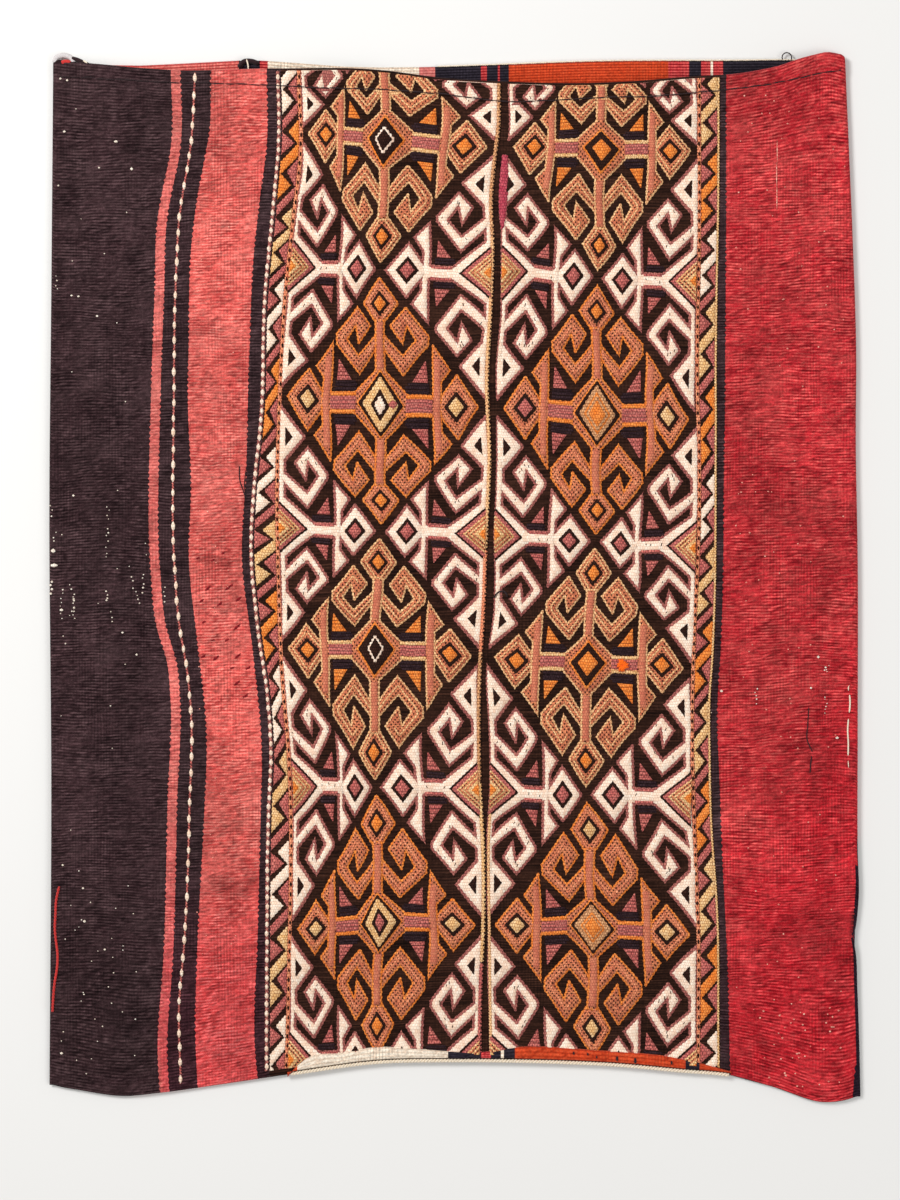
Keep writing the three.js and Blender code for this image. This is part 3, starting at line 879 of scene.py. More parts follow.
def sack_ring(t, ridge, inside):
    """Rows of points round the sack, outside or inside; ridge is 1 on a rib and 0 between ribs."""
    fx, fy, edges = front_places(t)
    bx, by = back_places(t)
    middle = smooth(t, 0, LEVEL_ENDS)[:, None] * smooth(1 - t, 0, LEVEL_ENDS)[:, None]
    fy = fy + middle * (RIB_WANDER_SIZE * RIB_WANDER(fx, fy) + RIB_JITTER_SIZE * RIB_JITTER(fx, fy))
    swell = 1 + RIB_SWELL * np.sin(SWELL_TURNS * t[:, None] * math.tau + fx / SWELL_LENGTH)
    rib = (ridge[:, None] - 0.5) * RIB_HEIGHT
    front_rib = rib * swell * rib_contrast(fx, fy) * (1 - PANEL_CALM * in_panel(fx, fy))
    fz = front_height(fx, fy)
    bz = np.full_like(bx, RIB_HEIGHT / 2)
    if inside:
        hem_line = front_lip_y(front_share(fx, fy)[0]) - HEM_DEPTH
        hem = HEM_FOLD * smooth(fy - hem_line, -HEM_STEP, HEM_STEP)
        fz = fz - CLOTH_WALL - hem - rib
        bz = bz + CLOTH_WALL + rib
    else:
        teeth = np.where(np.arange(len(t)) % 4 == 1, RIB_TOOTH, -RIB_TOOTH) * ridge
        uneven = TOOTH_SIZE[0] + TOOTH_SIZE[1] * np.sin(TOOTH_PACE * t[:, None] + fx[:, edges])
        fx[:, edges] += teeth[:, None] * uneven
        fz = fz + front_rib
        bz = bz - rib
        fz = pinched(fz, fy - bottom_y(front_share(fx, fy)[0]))
        bz = pinched(bz, by - bottom_y((bx - bx[:, :1]) / (bx[:, -1:] - bx[:, :1])))
    front = np.stack([fx, fy, fz], axis=2)
    back = np.stack([bx, by, bz], axis=2)[:, ::-1]
    reach = FOLD_RADIUS - CLOTH_WALL if inside else FOLD_RADIUS
    right = fold_places(front[:, -1], back[:, 0], reach)
    left = fold_places(front[:, 0], back[:, -1], -reach)[:, ::-1]
    return np.concatenate([front, right, back, left], axis=1)


def zip_faces(upper, lower, x):
    """Triangles between two rows of point numbers that share their ends, stepping along x."""
    faces = []
    i = j = 0
    while i < len(upper) - 1 or j < len(lower) - 1:
        step_upper = j == len(lower) - 1 or (i < len(upper) - 1 and x[upper[i + 1]] <= x[lower[j + 1]])
        face = (upper[i], lower[j], upper[i + 1] if step_upper else lower[j + 1])
        if step_upper:
            i += 1
        else:
            j += 1
        if len(set(face)) == 3:
            faces.append(face)
    return faces


def build_sack():
    """The whole cloth of the sack with its bands, ribs, lips and inside."""
    rows = np.arange(ROWS + 1)
    outside_t = rows / ROWS
    outside = sack_ring(outside_t, (rows % 2).astype(float), False)
    near_mouth = 1 - np.arange(INSIDE_ROWS) * RIB_PITCH / 2 / SACK_LENGTH
    far = np.linspace(near_mouth[-1], INSIDE_FOOT, INSIDE_DEEP_ROWS)[1:]
    inside_t = np.concatenate([near_mouth, far])
    inside_ridge = np.where(np.arange(len(inside_t)) < INSIDE_ROWS, np.arange(len(inside_t)) % 2, 0.5)
    inside = sack_ring(inside_t, inside_ridge, True)
    rim = (outside[-1:] + inside[:1]) / 2
    rim[..., 1] += RIM_ROUND
    grid = np.concatenate([outside, rim, inside])
    count, around = grid.shape[:2]
    points = grid.reshape(-1, 3)
    faces = []
    face_yarns = []
    yarns = list(WOOLS)
    front_yarns = [yarns.index(name) for name, columns, _ in FRONT_BANDS for _ in range(columns)]
    back_yarns = [yarns.index(name) for name, columns, _, _ in BACK_BANDS for _ in range(columns)][::-1]
    folds = len(FOLD_ANGLES) + 1
    ring_yarns = front_yarns + [front_yarns[-1]] * folds + back_yarns + [front_yarns[0]] * folds
    back_start = FRONT_COLUMNS + folds
    for row in range(count - 1):
        first = row * around
        for column in range(around):
            after = (column + 1) % around
            faces.append((first + column, first + after, first + around + after, first + around + column))
        row_yarns = list(ring_yarns)
        for top, foot, start in NAVY_EDGES:
            if photo_y(foot) <= grid[row, FRONT_COLUMNS, 1] < photo_y(top):
                row_yarns[FRONT_COLUMNS + start:back_start] = [yarns.index("navy_wool")] * (folds - start)
        face_yarns.extend(row_yarns)
    for first, turned in ((0, False), ((count - 1) * around, True)):
        upper = [first + j for j in range(back_start + 1)]
        lower = [first] + [first + j for j in range(around - 1, back_start - 1, -1)]
        for face in zip_faces(upper, lower, points[:, 0]):
            faces.append(face[::-1] if turned else face)
            face_yarns.append(yarns.index("umber_wool"))
    outer = len(outside) * around
    rib = np.full(len(points), RIM_RIB)
    draw = np.random.default_rng(41)
    crests = mixed(*CRESTS, draw.random((len(outside), around)))
    troughs = mixed(*TROUGHS, draw.random((len(outside), around)))
    contrast = rib_contrast(outside[..., 0], outside[..., 1])
    rib[:outer] = (0.5 + contrast * (np.where(rows[:, None] % 2, crests, troughs) - 0.5)).ravel()
    inner = outer + around
    rib[inner:] = np.repeat(inside_ridge, around)
    tone = np.ones((count, around))
    front = slice(0, FRONT_COLUMNS + 1)
    front_x, front_y_places = outside[:, front, 0], outside[:, front, 1]
    uneven = [UNEVEN.get(name, UNEVEN_WOOL) for name, columns, _ in FRONT_BANDS for _ in range(columns)]
    chance = np.clip(draw.standard_normal(front_x.shape), -UNEVEN_LIMIT, UNEVEN_LIMIT)
    uneven = np.append(uneven, UNEVEN_WOOL) * chance
    tone[:len(outside), front] = front_tone(front_x, front_y_places) * (1 + uneven)
    deep = np.zeros((count, around))
    deep[:len(outside), front] = front_deep(front_x, front_y_places)
    deep[:len(outside), FRONT_COLUMNS + 1:back_start] = deep[:len(outside), FRONT_COLUMNS, None]
    return make_piece("woven_sack", points, faces, yarns, face_yarns,
                      {"rib": rib, "tone": tone.ravel(), "deep": deep.ravel()})


sack = build_sack()
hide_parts("sack_cloth")


# Brocading yarn, laid on the ground cloth in small raised fields

TRIM_LIP = 1.5
TRIM_FOOT = 7.0
FIELD_ROOT = -0.6
FIELD_SKIRT = 0.45
FIELD_TOOTH = 0.4
FILL_SPACING = 8.0
TINY = 1e-9
SHARP_TURN = 0.2
SHARPEST = 0.4
JOIN_DISTANCE = 1e-4
# A step so long that a small shape isn't split
UNSPLIT = 20


def turned_left(outline):
    """The outline with its inside at the left of its walk."""
    x, y = outline.T
    area = np.sum(x * np.roll(y, -1) - np.roll(x, -1) * y)
    return outline if area > 0 else outline[::-1]


def spaced(outline, step):
    """The outline with points no further apart than step."""
    points = []
    for start, end in zip(outline, np.roll(outline, -1, axis=0)):
        count = int(np.ceil(np.hypot(*(end - start)) / step))
        points.extend(mixed(start, end, k / count) for k in range(count))
    return np.array(points)


def edge_normals(outline):
    """Outward direction at each point of an outline with its inside at the left."""
    ahead = np.roll(outline, -1, axis=0) - outline
    ahead /= np.maximum(np.hypot(*ahead.T), TINY)[:, None]
    behind = np.roll(ahead, 1, axis=0)
    total = ahead + behind
    size = np.hypot(*total.T)
    total = np.where(size[:, None] > SHARP_TURN, total / np.maximum(size, SHARP_TURN)[:, None], ahead)
    sharpness = np.clip(np.sum(total * ahead, axis=1), SHARPEST, 1)
    return np.stack([total[:, 1], -total[:, 0]], axis=1) / sharpness[:, None]


def inset(outline, depth):
    """The outline drawn in by a depth."""
    outline = turned_left(np.asarray(outline, float))
    return outline - depth * edge_normals(outline)


def trimmed(outline):
    """The part of an outline that lies on the front, between the lip and the bottom seam."""
    for from_lip in (True, False):
        s = front_share(outline[:, 0], outline[:, 1])[0]
        if from_lip:
            room = front_lip_y(s) - TRIM_LIP - outline[:, 1]
        else:
            room = outline[:, 1] - bottom_y(s) - TRIM_FOOT
        if room.min() >= 0:
            continue
        kept = []
        for i in range(len(outline)):
            here, there = room[i - 1], room[i]
            if (here < 0) != (there < 0):
                kept.append(mixed(outline[i - 1], outline[i], here / (here - there)))
            if there >= 0:
                kept.append(outline[i])
        outline = np.array(kept).reshape(-1, 2)
        if len(outline) < 3:
            return outline
    return outline


def inner_points(outline):
    """A grid of points well inside a wide outline."""
    low, high = outline.min(axis=0), outline.max(axis=0)
    if min(high - low) < 2 * FILL_SPACING:
        return np.zeros((0, 2))
    xs = np.arange(low[0] + FILL_SPACING / 2, high[0], FILL_SPACING)
    ys = np.arange(low[1] + FILL_SPACING / 2, high[1], FILL_SPACING)
    grid = np.array(np.meshgrid(xs, ys)).reshape(2, -1).T
    inside = np.zeros(len(grid), bool)
    for start, end in zip(outline, np.roll(outline, -1, axis=0)):
        crosses = (start[1] > grid[:, 1]) != (end[1] > grid[:, 1])
        rise = end[1] - start[1] if end[1] != start[1] else TINY
        inside ^= crosses & (grid[:, 0] < start[0] + (grid[:, 1] - start[1]) * (end[0] - start[0]) / rise)
    gaps = np.hypot(grid[:, None, 0] - outline[:, 0], grid[:, None, 1] - outline[:, 1]).min(axis=1)
    return grid[inside & (gaps > FILL_SPACING / 3)]


class Fields:
    """All raised fields of one yarn."""

    def __init__(self):
        self.places = []
        self.lifts = []
        self.faces = []
        self.count = 0

    def lay(self, outline, lift, teeth=FIELD_TOOTH, step=RIB_PITCH, skirt=FIELD_SKIRT, root=FIELD_ROOT):
        """Adds a field with toothed edges that stands on the cloth by a lift."""
        outline = turned_left(spaced(np.asarray(outline, float), step))
        if teeth:
            signs = np.where(np.arange(len(outline)) % 2, 1, -1)[:, None]
            outline = outline + teeth * signs * edge_normals(outline)
        outline = trimmed(outline)
        if len(outline) < 3:
            return
        corners = [Vector(point) for point in np.concatenate([outline, inner_points(outline)])]
        found = delaunay_2d_cdt(corners, [], [list(range(len(outline)))], 1, JOIN_DISTANCE)
        top = np.array([tuple(point) for point in found[0]])
        faces = [tuple(face) for face in found[2]]
        if not faces:
            return
        walks = {(a, b) for face in faces for a, b in zip(face, face[1:] + face[:1])}
        rim = [(a, b) for a, b in walks if (b, a) not in walks]
        push = np.zeros_like(top)
        for a, b in sorted(rim):
            ahead = top[b] - top[a]
            out = np.array([ahead[1], -ahead[0]]) / max(np.hypot(*ahead), TINY)
            push[a] += out
            push[b] += out
        size = np.hypot(*push.T)
        push = push / np.maximum(size, TINY)[:, None] * skirt
        first, under = self.count, self.count + len(top)
        self.faces.extend(tuple(first + k for k in face) for face in faces)
        self.faces.extend(tuple(under + k for k in face[::-1]) for face in faces)
        self.faces.extend((first + a, under + a, under + b, first + b) for a, b in sorted(rim))
        self.places.extend([top, top + push])
        self.lifts.extend([np.full(len(top), lift), np.full(len(top), root)])
        self.count += 2 * len(top)

    def build(self, name, yarn_name, slot="sack_wool"):
        """The mesh piece of all the fields, draped on the front."""
        places = np.concatenate(self.places)
        height = front_height(places[:, 0], places[:, 1]) + np.concatenate(self.lifts)
        points = np.column_stack([places, height])
        return make_piece(name, points, self.faces, [yarn_name])


fields = {name: Fields() for name in BROCADES}

# Heights of the laid yarns over the ground
EDGE_LIFT = 0.8
FILL_LIFT = 1.05
HOOK_CORE_LIFT = 1.25
STEM_LIFT = 1.5
DARK_LIFT = 1.55
RING_STEP = 0.2

# Lozenge lattice of the brocaded panel in photograph pixels: row lines, row middles and axes of the columns
ROW_LINES = [
    across_line((301, 32), (385, 35), (496, 45), (601, 47), (697, 50)),
    across_line((290, 267), (316, 268), (380, 270), (464, 272), (523, 273.5), (575, 277.5),
                (622, 280), (674, 281), (697, 281.5)),
    across_line((285, 528), (354, 531), (404, 532), (460, 533), (519, 537.5), (572, 541),
                (619, 544), (673, 546), (697, 547)),
    across_line((288, 786), (354, 787.5), (400, 788), (453, 789), (512, 791.5), (563, 793.5),
                (612, 795.5), (667, 797.5), (695, 798.5)),
    across_line((290, 1060.5), (377, 1062), (487, 1063), (593, 1066), (695, 1070)),
    across_line((290, 1328), (695, 1337)),
]
ROW_MIDDLES = [
    across_line((301, 134), (326, 135), (385, 138), (463, 147), (496, 148), (601, 148.5), (672, 151),
                (697, 151)),
    across_line((285, 396), (312, 400), (380, 405), (459, 407), (497, 408.5), (523, 409), (597, 414),
                (668, 417), (695, 419)),
    across_line((284, 647), (309, 648), (374, 649), (450, 653), (484, 656.5), (516, 660), (587, 662.5),
                (662, 666), (692, 669)),
    across_line((291, 927.5), (314, 926.5), (378, 923), (452, 923.5), (486, 924.5), (518, 925), (592, 926),
                (632, 930.5), (667, 932.5), (696, 936)),
    across_line((290, 1194), (695, 1204)),
]
AXIS_LINES = [
    photo_line((385, 138), (380, 270), (380, 405), (380, 532), (374, 648), (376, 787), (378, 923),
               (377, 1028)),
    photo_line((601, 148), (597, 278), (597, 415), (595, 541), (587, 662), (586.5, 795), (592, 928),
               (593, 1032)),
]
# Width that the strip along the middle of the panel takes from the left column, in photograph pixels
CENTRE_STRIP = 3.4
COLUMN_EDGES = [
    (PANEL_LEFT, beside(CENTRE_LEFT, -CENTRE_STRIP)),
    (CENTRE_RIGHT, PANEL_RIGHT),
]
LEAF_LINE = 0.473
HAND_WARP = (waves(31, 50, 140), waves(32, 50, 140))
HAND_WARP_SIZE = 0.7
PULL_REACH = 0.85


def cell_place(column, row, across, up):
    """Places in a lozenge cell: across from its axis to its sides, up from its middle to its row lines."""
    share = np.abs(across)
    share = np.where(share < 0.5, share * 2 * LEAF_LINE, LEAF_LINE + (share - 0.5) * 2 * (1 - LEAF_LINE))
    left, right = COLUMN_EDGES[column]
    y = ROW_MIDDLES[row](np.full(np.shape(across), photo_x(PHOTO_MIDDLE[0])))
    for _ in range(ROUNDS):
        axis = AXIS_LINES[column](y)
        x = axis + share * np.where(across > 0, right(y) - axis, left(y) - axis)
        middle = ROW_MIDDLES[row](x)
        above = ROW_LINES[row](x) - middle
        below = ROW_LINES[row + 1](x) - middle
        y = middle + np.abs(up) * np.where(up > 0, above, below)
    x, y = x + HAND_WARP_SIZE * HAND_WARP[0](x, y), y + HAND_WARP_SIZE * HAND_WARP[1](x, y)
    return np.stack([x, y], axis=-1)


def brown_place(column, row, pulls=(0.0, 0.0)):
    """Places in a whole figure of a cell; pulls draw its upper and lower hooks to its middle."""
    def at(shape):
        across, up = np.array(shape, float).T
        pull = np.where(up > 0, *pulls) * np.sin(math.pi * np.minimum(np.abs(up) / PULL_REACH, 1))
        return cell_place(column, row, across, up - np.sign(up) * pull)
    return at


def cream_place(column, line, side):
    """Places in a half figure on a row line, which grows from a column's edge towards its axis."""
    def at(shape):
        inwards, up = np.array(shape, float).T
        across = side * (1 - inwards)
        lower = cell_place(column, min(line, len(ROW_MIDDLES) - 1), across, 1 + np.minimum(up, 0))
        upper = cell_place(column, max(line - 1, 0), across, -1 + np.maximum(up, 0))
        return np.where((up > 0)[:, None] if line > 0 else np.zeros((len(up), 1), bool), upper, lower)
    return at


# Parts of a figure in shares of half a cell: across from its axis, up from its middle
HOOK = [
    (0.032, 0.44), (0.227, 0.225), (0.484, 0.45), (0.488, 0.525), (0.259, 0.73), (0.111, 0.592),
    (0.243, 0.455), (0.281, 0.59), (0.37, 0.485), (0.241, 0.37), (0.032, 0.54),
]
BROWN_FIGURE = {
    "spine": [(0.05, 0.64), (0.05, 0.268), (0.275, 0.08), (0.521, 0.08),
              (0.521, 0.465), (0.675, 0.28), (0.597, 0.19), (0.602, 0.0)],
    "spine_rise": 0.3,
    "hook": HOOK,
    "end": (0.755, 0.185, 0.187),
    "eye": (0.112, 0.122),
    "side": (0.736, 0.2, 0.25),
    "triangle": [(0.318, 0.178), (0.47, 0.178), (0.458, 0.34)],
    "navy": [(0.23, 0.484, 0.095, 0.118), (0.25, 0.484, 0.127, 0.15), (0.27, 0.484, 0.156, 0.17)],
}
CREAM_FIGURE = {
    "spine": [(0.06, 0.64), (0.06, 0.245), (0.33, 0.058), (0.521, 0.058),
              (0.521, 0.39), (0.69, 0.25), (0.6, 0.15), (0.602, 0.0)],
    "spine_rise": 0.0,
    "hook": [
        (0.0, 0.375), (0.263, 0.162), (0.462, 0.4), (0.462, 0.44), (0.268, 0.63), (0.143, 0.512),
        (0.25, 0.37), (0.275, 0.507), (0.36, 0.414), (0.256, 0.29), (0.0, 0.473),
    ],
    "end": (0.7, 0.245, 0.24),
    "eye": (0.112, 0.106),
    "side": (0.736, 0.215, 0.21),
    "triangle": [(0.35, 0.127), (0.47, 0.127), (0.457, 0.255)],
    "navy": [(0.3, 0.484, 0.072, 0.09), (0.31, 0.484, 0.097, 0.114)],
}
CREAM_EYE = [(0.058, 0.63), (0.128, 0.698), (0.058, 0.77)]
HOOK_MIDDLE = [(0.05, 0.47), (0.234, 0.3), (0.427, 0.468), (0.43, 0.505), (0.262, 0.655), (0.19, 0.59)]
CREAM_HOOK_MIDDLE = [(0.03, 0.41), (0.26, 0.225), (0.41, 0.41), (0.27, 0.565), (0.2, 0.505)]
STEM = (0.032, 0.28, 0.62)
LEAF_BAR = (0.532, 0.588, 0.36)
ARM = (0.26, 0.52)
ARM_GROUND = 0.05
ARM_GROUND_LIFT = 1.4
ARM_LINES = (-0.034, 0.0, 0.034)
ARM_LINE_HALF = 0.012
ARM_EDGE_LINES = (-0.068, 0.068)
ARM_EDGE_HALF = 0.014
CREAM_ARM_LINE = (0.335, 0.515, 0.034, 0.054)
MIDDLE_LINE = 0.75
EDGE_WIDTH = 1.6
FRINGE_WIDTH = 2.6
EDGE_GROWTH = 0.5
FRINGE_GROWTH = 0.6
HOOK_CORE = 0.75
# Points cut off a path that dense has closed; a hook's core also ends before its tip
PATH_CUT = 3
CORE_CUT = 4
AXIS_REACH = 0.012
RING_TOOTH = 0.25
SMALL_TOOTH = 0.2
LINE_ENDS = (0.06, 0.94)
EYE_CENTRE = 0.64
END_EYE = (0.1, 0.09)
HEART_TEETH = {"cream_brocade": 0.7, "gold_brocade": 0.45, "tan_brocade": 0.5}


def diamond(middle_across, middle_up, half_across, half_up):
    return [
        (middle_across + half_across, middle_up), (middle_across, middle_up + half_up),
        (middle_across - half_across, middle_up), (middle_across, middle_up - half_up),
    ]


def half_diamond(middle_up, half_across, half_up):
    return [(0, middle_up - half_up), (half_across, middle_up), (0, middle_up + half_up)]


def bar(start, end, low, high):
    return [(start, low), (end, low), (end, high), (start, high)]


def mirrored(shape, whole):
    """A figure's outline from one quarter of it, or its half beside the axis."""
    right = shape + [(a, -b) for a, b in reversed(shape)]
    if whole:
        return right + [(-a, b) for a, b in reversed(right)]
    return [(0.0, shape[0][1])] + right + [(0.0, -shape[0][1])]


def stroke(path, half):
    """The outline of a narrow band along a path."""
    ahead = np.gradient(path, axis=0)
    aside = np.stack([-ahead[:, 1], ahead[:, 0]], axis=1) / np.hypot(*ahead.T)[:, None] * half
    return np.concatenate([path + aside, (path - aside)[::-1]])


def lay_band(place, shape, looks, rise=0.0, open_axis=False):
    """A field with an edge of one yarn and a filling of another, which may reach the axis."""
    fields[looks["edge"]].lay(inset(place(dense(shape)), -looks["growth"]), EDGE_LIFT + rise)
    if open_axis:
        shape = [(across if across > 0 else -AXIS_REACH, up) for across, up in shape]
    depth = looks["width"] - looks["growth"]
    fields[looks["fill"]].lay(inset(place(dense(shape)), depth), FILL_LIFT + rise)


def dense(shape, pieces=4):
    """A shape with more points, so that it follows the bends of the lattice."""
    corners = np.array(shape, float)
    return np.concatenate([
        np.linspace(start, end, pieces, endpoint=False)
        for start, end in zip(corners, np.roll(corners, -1, axis=0)) if np.any(start != end)])


def lay_rings(place, middle, rings, whole=True, jagged=False):
    """Diamonds in each other, each a little higher; rings gives their yarns and half sizes."""
    for level, (name, across, up) in enumerate(rings):
        shape = diamond(*middle, across, up) if whole else half_diamond(middle[1], across, up)
        teeth = HEART_TEETH.get(name, RING_TOOTH) if jagged else RING_TOOTH
        fields[name].lay(place(dense(shape)), DARK_LIFT + level * RING_STEP, teeth=teeth)


def lay_lines(place, middle, half, name):
    """Two bent lines in the band of a diamond, at its left and its right."""
    across, up = middle
    for side in (-1, 1):
        near, far = LINE_ENDS
        ends = [(near, -far), (1, 0), (near, far)]
        path = [(across + side * MIDDLE_LINE * half[0] * a, up + MIDDLE_LINE * half[1] * b) for a, b in ends]
        fields[name].lay(stroke(place(dense(path)[:-PATH_CUT]), HOOK_CORE), HOOK_CORE_LIFT)


def lay_stripes(place, shape, name, pitch=0.036, gap=0.18):
    """A small triangle of level floats."""
    start, end, tip = np.array(shape, float)
    rows = int(abs(tip[1] - start[1]) / pitch) + 1
    for row in range(rows):
        low, high = row / rows, (row + 1 - gap) / rows
        ends = [mixed(start, tip, low), mixed(end, tip, low), mixed(end, tip, high), mixed(start, tip, high)]
        fields[name].lay(place(ends), FILL_LIFT, teeth=0)


def lay_eye(place, middle, half, centre):
    """A small dark diamond with a coloured middle."""
    lay_rings(place, middle, [("dark_brocade", *half), (centre, EYE_CENTRE * half[0], EYE_CENTRE * half[1])])


def lay_figure(place, whole, figure, looks):
    """One hooked figure with its spine, hooks, diamonds and small triangles."""
    middle_up, *end_half = figure["end"]
    side_across, *side_half = figure["side"]
    for side in (-1, 1) if whole else (1,):
        side_middle = (side * side_across, 0)
        lay_band(place, diamond(*side_middle, *side_half), looks)
        lay_eye(place, side_middle, figure["eye"], looks["side_eyes"][side])
        if whole:
            lay_lines(place, side_middle, side_half, looks["core"])
        for end in (-1, 1):
            turned = lambda shape: [(side * a, end * b) for a, b in shape]
            lay_band(place, turned(figure["hook"]), looks)
            if whole:
                path = place(dense(turned(HOOK_MIDDLE))[:-CORE_CUT])
                fields[looks["core"]].lay(stroke(path, HOOK_CORE), HOOK_CORE_LIFT)
            else:
                arm_line = dense(turned(bar(*CREAM_ARM_LINE)))
                fields["pink_brocade"].lay(place(arm_line), HOOK_CORE_LIFT, teeth=0)
            lay_stripes(place, turned(figure["triangle"]), looks["triangle"])
            for navy in figure["navy"]:
                fields["navy_brocade"].lay(place(turned(bar(*navy))), EDGE_LIFT, teeth=SMALL_TOOTH)
    for end in (-1, 1):
        if whole:
            lay_band(place, diamond(0, end * middle_up, *end_half), looks)
            lay_eye(place, (0, end * middle_up), END_EYE, looks["end_eye"])
            lay_lines(place, (0, end * middle_up), end_half, looks["core"])
        else:
            lay_band(place, half_diamond(end * middle_up, *end_half), looks, open_axis=True)
            eye = [(a, end * b) for a, b in CREAM_EYE]
            fields["dark_brocade"].lay(place(eye), DARK_LIFT, teeth=SMALL_TOOTH)
    lay_band(place, mirrored(figure["spine"], whole), looks, figure["spine_rise"], not whole)
    lay_rings(looks.get("middle", place), (0, 0), looks["heart"], whole, jagged=whole)
    if whole:
        lay_arms(place, looks["arm_edge"])
    else:
        lay_ticks(place)


# Short dark stitches in a half figure: where they start on each part of a hook, how far along it and
# beside it, and their places on the arm
TICK_STARTS = (0.0, 0.33, 0.66)
TICK_ALONG = (0.02, 0.32)
TICK_ASIDE = 0.03
TICK_ARM_PLACES = (0.35, 0.42, 0.49)
TICK_ARM_HEIGHT = 0.02
TICK_CHANCE = 0.55
TICK_HALF_LENGTH = (0.006, 0.014)
TICK_HALF_WIDTH = 0.004
TICK_LEAN = 0.008
TICK_LIFT = 1.15
TICK_SKIRT = 0.1


def lay_ticks(place):
    """Short dark stitches along the middle of a half figure's hooks and arm."""
    for end in (-1, 1):
        for start, finish in zip(CREAM_HOOK_MIDDLE, CREAM_HOOK_MIDDLE[1:]):
            for reach in TICK_STARTS:
                share = reach + tick_draw.uniform(*TICK_ALONG)
                across, up = mixed(np.array(start), np.array(finish), share)
                lay_tick(place, across + tick_draw.uniform(-TICK_ASIDE, TICK_ASIDE), end * up)
    for across in TICK_ARM_PLACES:
        across = across + tick_draw.uniform(-TICK_ASIDE, TICK_ASIDE)
        lay_tick(place, across, tick_draw.uniform(-TICK_ARM_HEIGHT, TICK_ARM_HEIGHT))


def lay_tick(place, across, up):
    """A short stitch of dark yarn, or none."""
    if tick_draw.random() < TICK_CHANCE:
        half = tick_draw.uniform(*TICK_HALF_LENGTH)
        lean = tick_draw.uniform(-TICK_LEAN, TICK_LEAN)
        shape = [(across - TICK_HALF_WIDTH - lean, up - half), (across + TICK_HALF_WIDTH - lean, up - half),
                 (across + TICK_HALF_WIDTH + lean, up + half), (across - TICK_HALF_WIDTH + lean, up + half)]
        fields["dark_brocade"].lay(place(shape), TICK_LIFT, teeth=0, skirt=TICK_SKIRT)


def lay_arms(place, edge):
    """Plain stems, leaf bars and the lined arms of a whole figure."""
    half, low, high = STEM
    leaf_near, leaf_far, reach = LEAF_BAR
    stem = fields["stem_brocade"]
    for side in (-1, 1):
        stem.lay(place(dense(bar(-half, half, side * low, side * high))), STEM_LIFT, teeth=0)
        stem.lay(place(dense(bar(side * leaf_near, side * leaf_far, -reach, reach))), STEM_LIFT, teeth=0)
        near, far = side * ARM[0], side * ARM[1]
        ground = bar(near, far, -ARM_GROUND, ARM_GROUND)
        fields["fringe_brocade"].lay(place(dense(ground)), ARM_GROUND_LIFT, teeth=0)
        for middle in ARM_LINES:
            line = bar(near, far, middle - ARM_LINE_HALF, middle + ARM_LINE_HALF)
            fields["pink_brocade"].lay(place(dense(line)), DARK_LIFT, teeth=0)
        for middle in ARM_EDGE_LINES:
            line = bar(near, far, middle - ARM_EDGE_HALF, middle + ARM_EDGE_HALF)
            fields[edge].lay(place(dense(line)), DARK_LIFT)


ROW_LOOKS = [
    # edges, lines along the arms, cores of the hooks, triangles and side eyes, in turns from row to row
    ("peach_brocade", "gold_brocade", "peach_brocade", "orange_brocade", "orange_brocade"),
    ("orange_brocade", "orange_brocade", "salmon_brocade", "pink_brocade", "gold_brocade"),
]
# Figures, by column and row, with an eye in another yarn at the left or at both ends
PINK_LEFT_EYES = {(1, 1)}
GOLD_END_EYES = {(1, 3)}
# How far the upper and the lower hooks of each row are drawn to the middle, in shares of half a cell
ROW_PULLS = ((0.0, 0.04), (0.01, 0.0), (0.045, 0.045), (0.065, 0.058))
HEARTS = {
    # yarn, half across and half up of each ring
    (0, 0): [("orange_brocade", 0.205, 0.235), ("dark_brocade", 0.18, 0.207),
             ("cream_brocade", 0.105, 0.125), ("dark_brocade", 0.082, 0.096)],
    (0, 1): [("orange_brocade", 0.25, 0.273), ("dark_brocade", 0.235, 0.255), ("gold_brocade", 0.19, 0.22),
             ("dark_brocade", 0.1, 0.126), ("cream_brocade", 0.06, 0.078)],
    (0, 2): [("orange_brocade", 0.218, 0.222), ("dark_brocade", 0.195, 0.197),
             ("cream_brocade", 0.09, 0.112), ("dark_brocade", 0.068, 0.086)],
    (0, 3): [("orange_brocade", 0.244, 0.223), ("dark_brocade", 0.228, 0.207), ("gold_brocade", 0.178, 0.18),
             ("dark_brocade", 0.097, 0.106), ("pink_brocade", 0.053, 0.07)],
    (1, 0): [("orange_brocade", 0.218, 0.198), ("dark_brocade", 0.194, 0.174),
             ("orange_brocade", 0.107, 0.096)],
    (1, 1): [("orange_brocade", 0.256, 0.262), ("dark_brocade", 0.24, 0.245), ("tan_brocade", 0.19, 0.213),
             ("orange_brocade", 0.14, 0.16), ("tan_brocade", 0.118, 0.135), ("orange_brocade", 0.09, 0.1)],
    (1, 2): [("orange_brocade", 0.22, 0.199), ("dark_brocade", 0.197, 0.175), ("orange_brocade", 0.118, 0.1)],
    (1, 3): [("orange_brocade", 0.241, 0.219), ("dark_brocade", 0.225, 0.203), ("tan_brocade", 0.19, 0.18),
             ("orange_brocade", 0.125, 0.12), ("tan_brocade", 0.103, 0.1), ("orange_brocade", 0.085, 0.082)],
}
CREAM_HEART = [
    ("dark_brocade", 0.276, 0.212), ("pink_brocade", 0.25, 0.191), ("gold_brocade", 0.2, 0.153),
    ("brown_brocade", 0.18, 0.138), ("gold_brocade", 0.152, 0.116), ("brown_brocade", 0.132, 0.101),
    ("gold_brocade", 0.105, 0.081), ("orange_brocade", 0.064, 0.05),
]
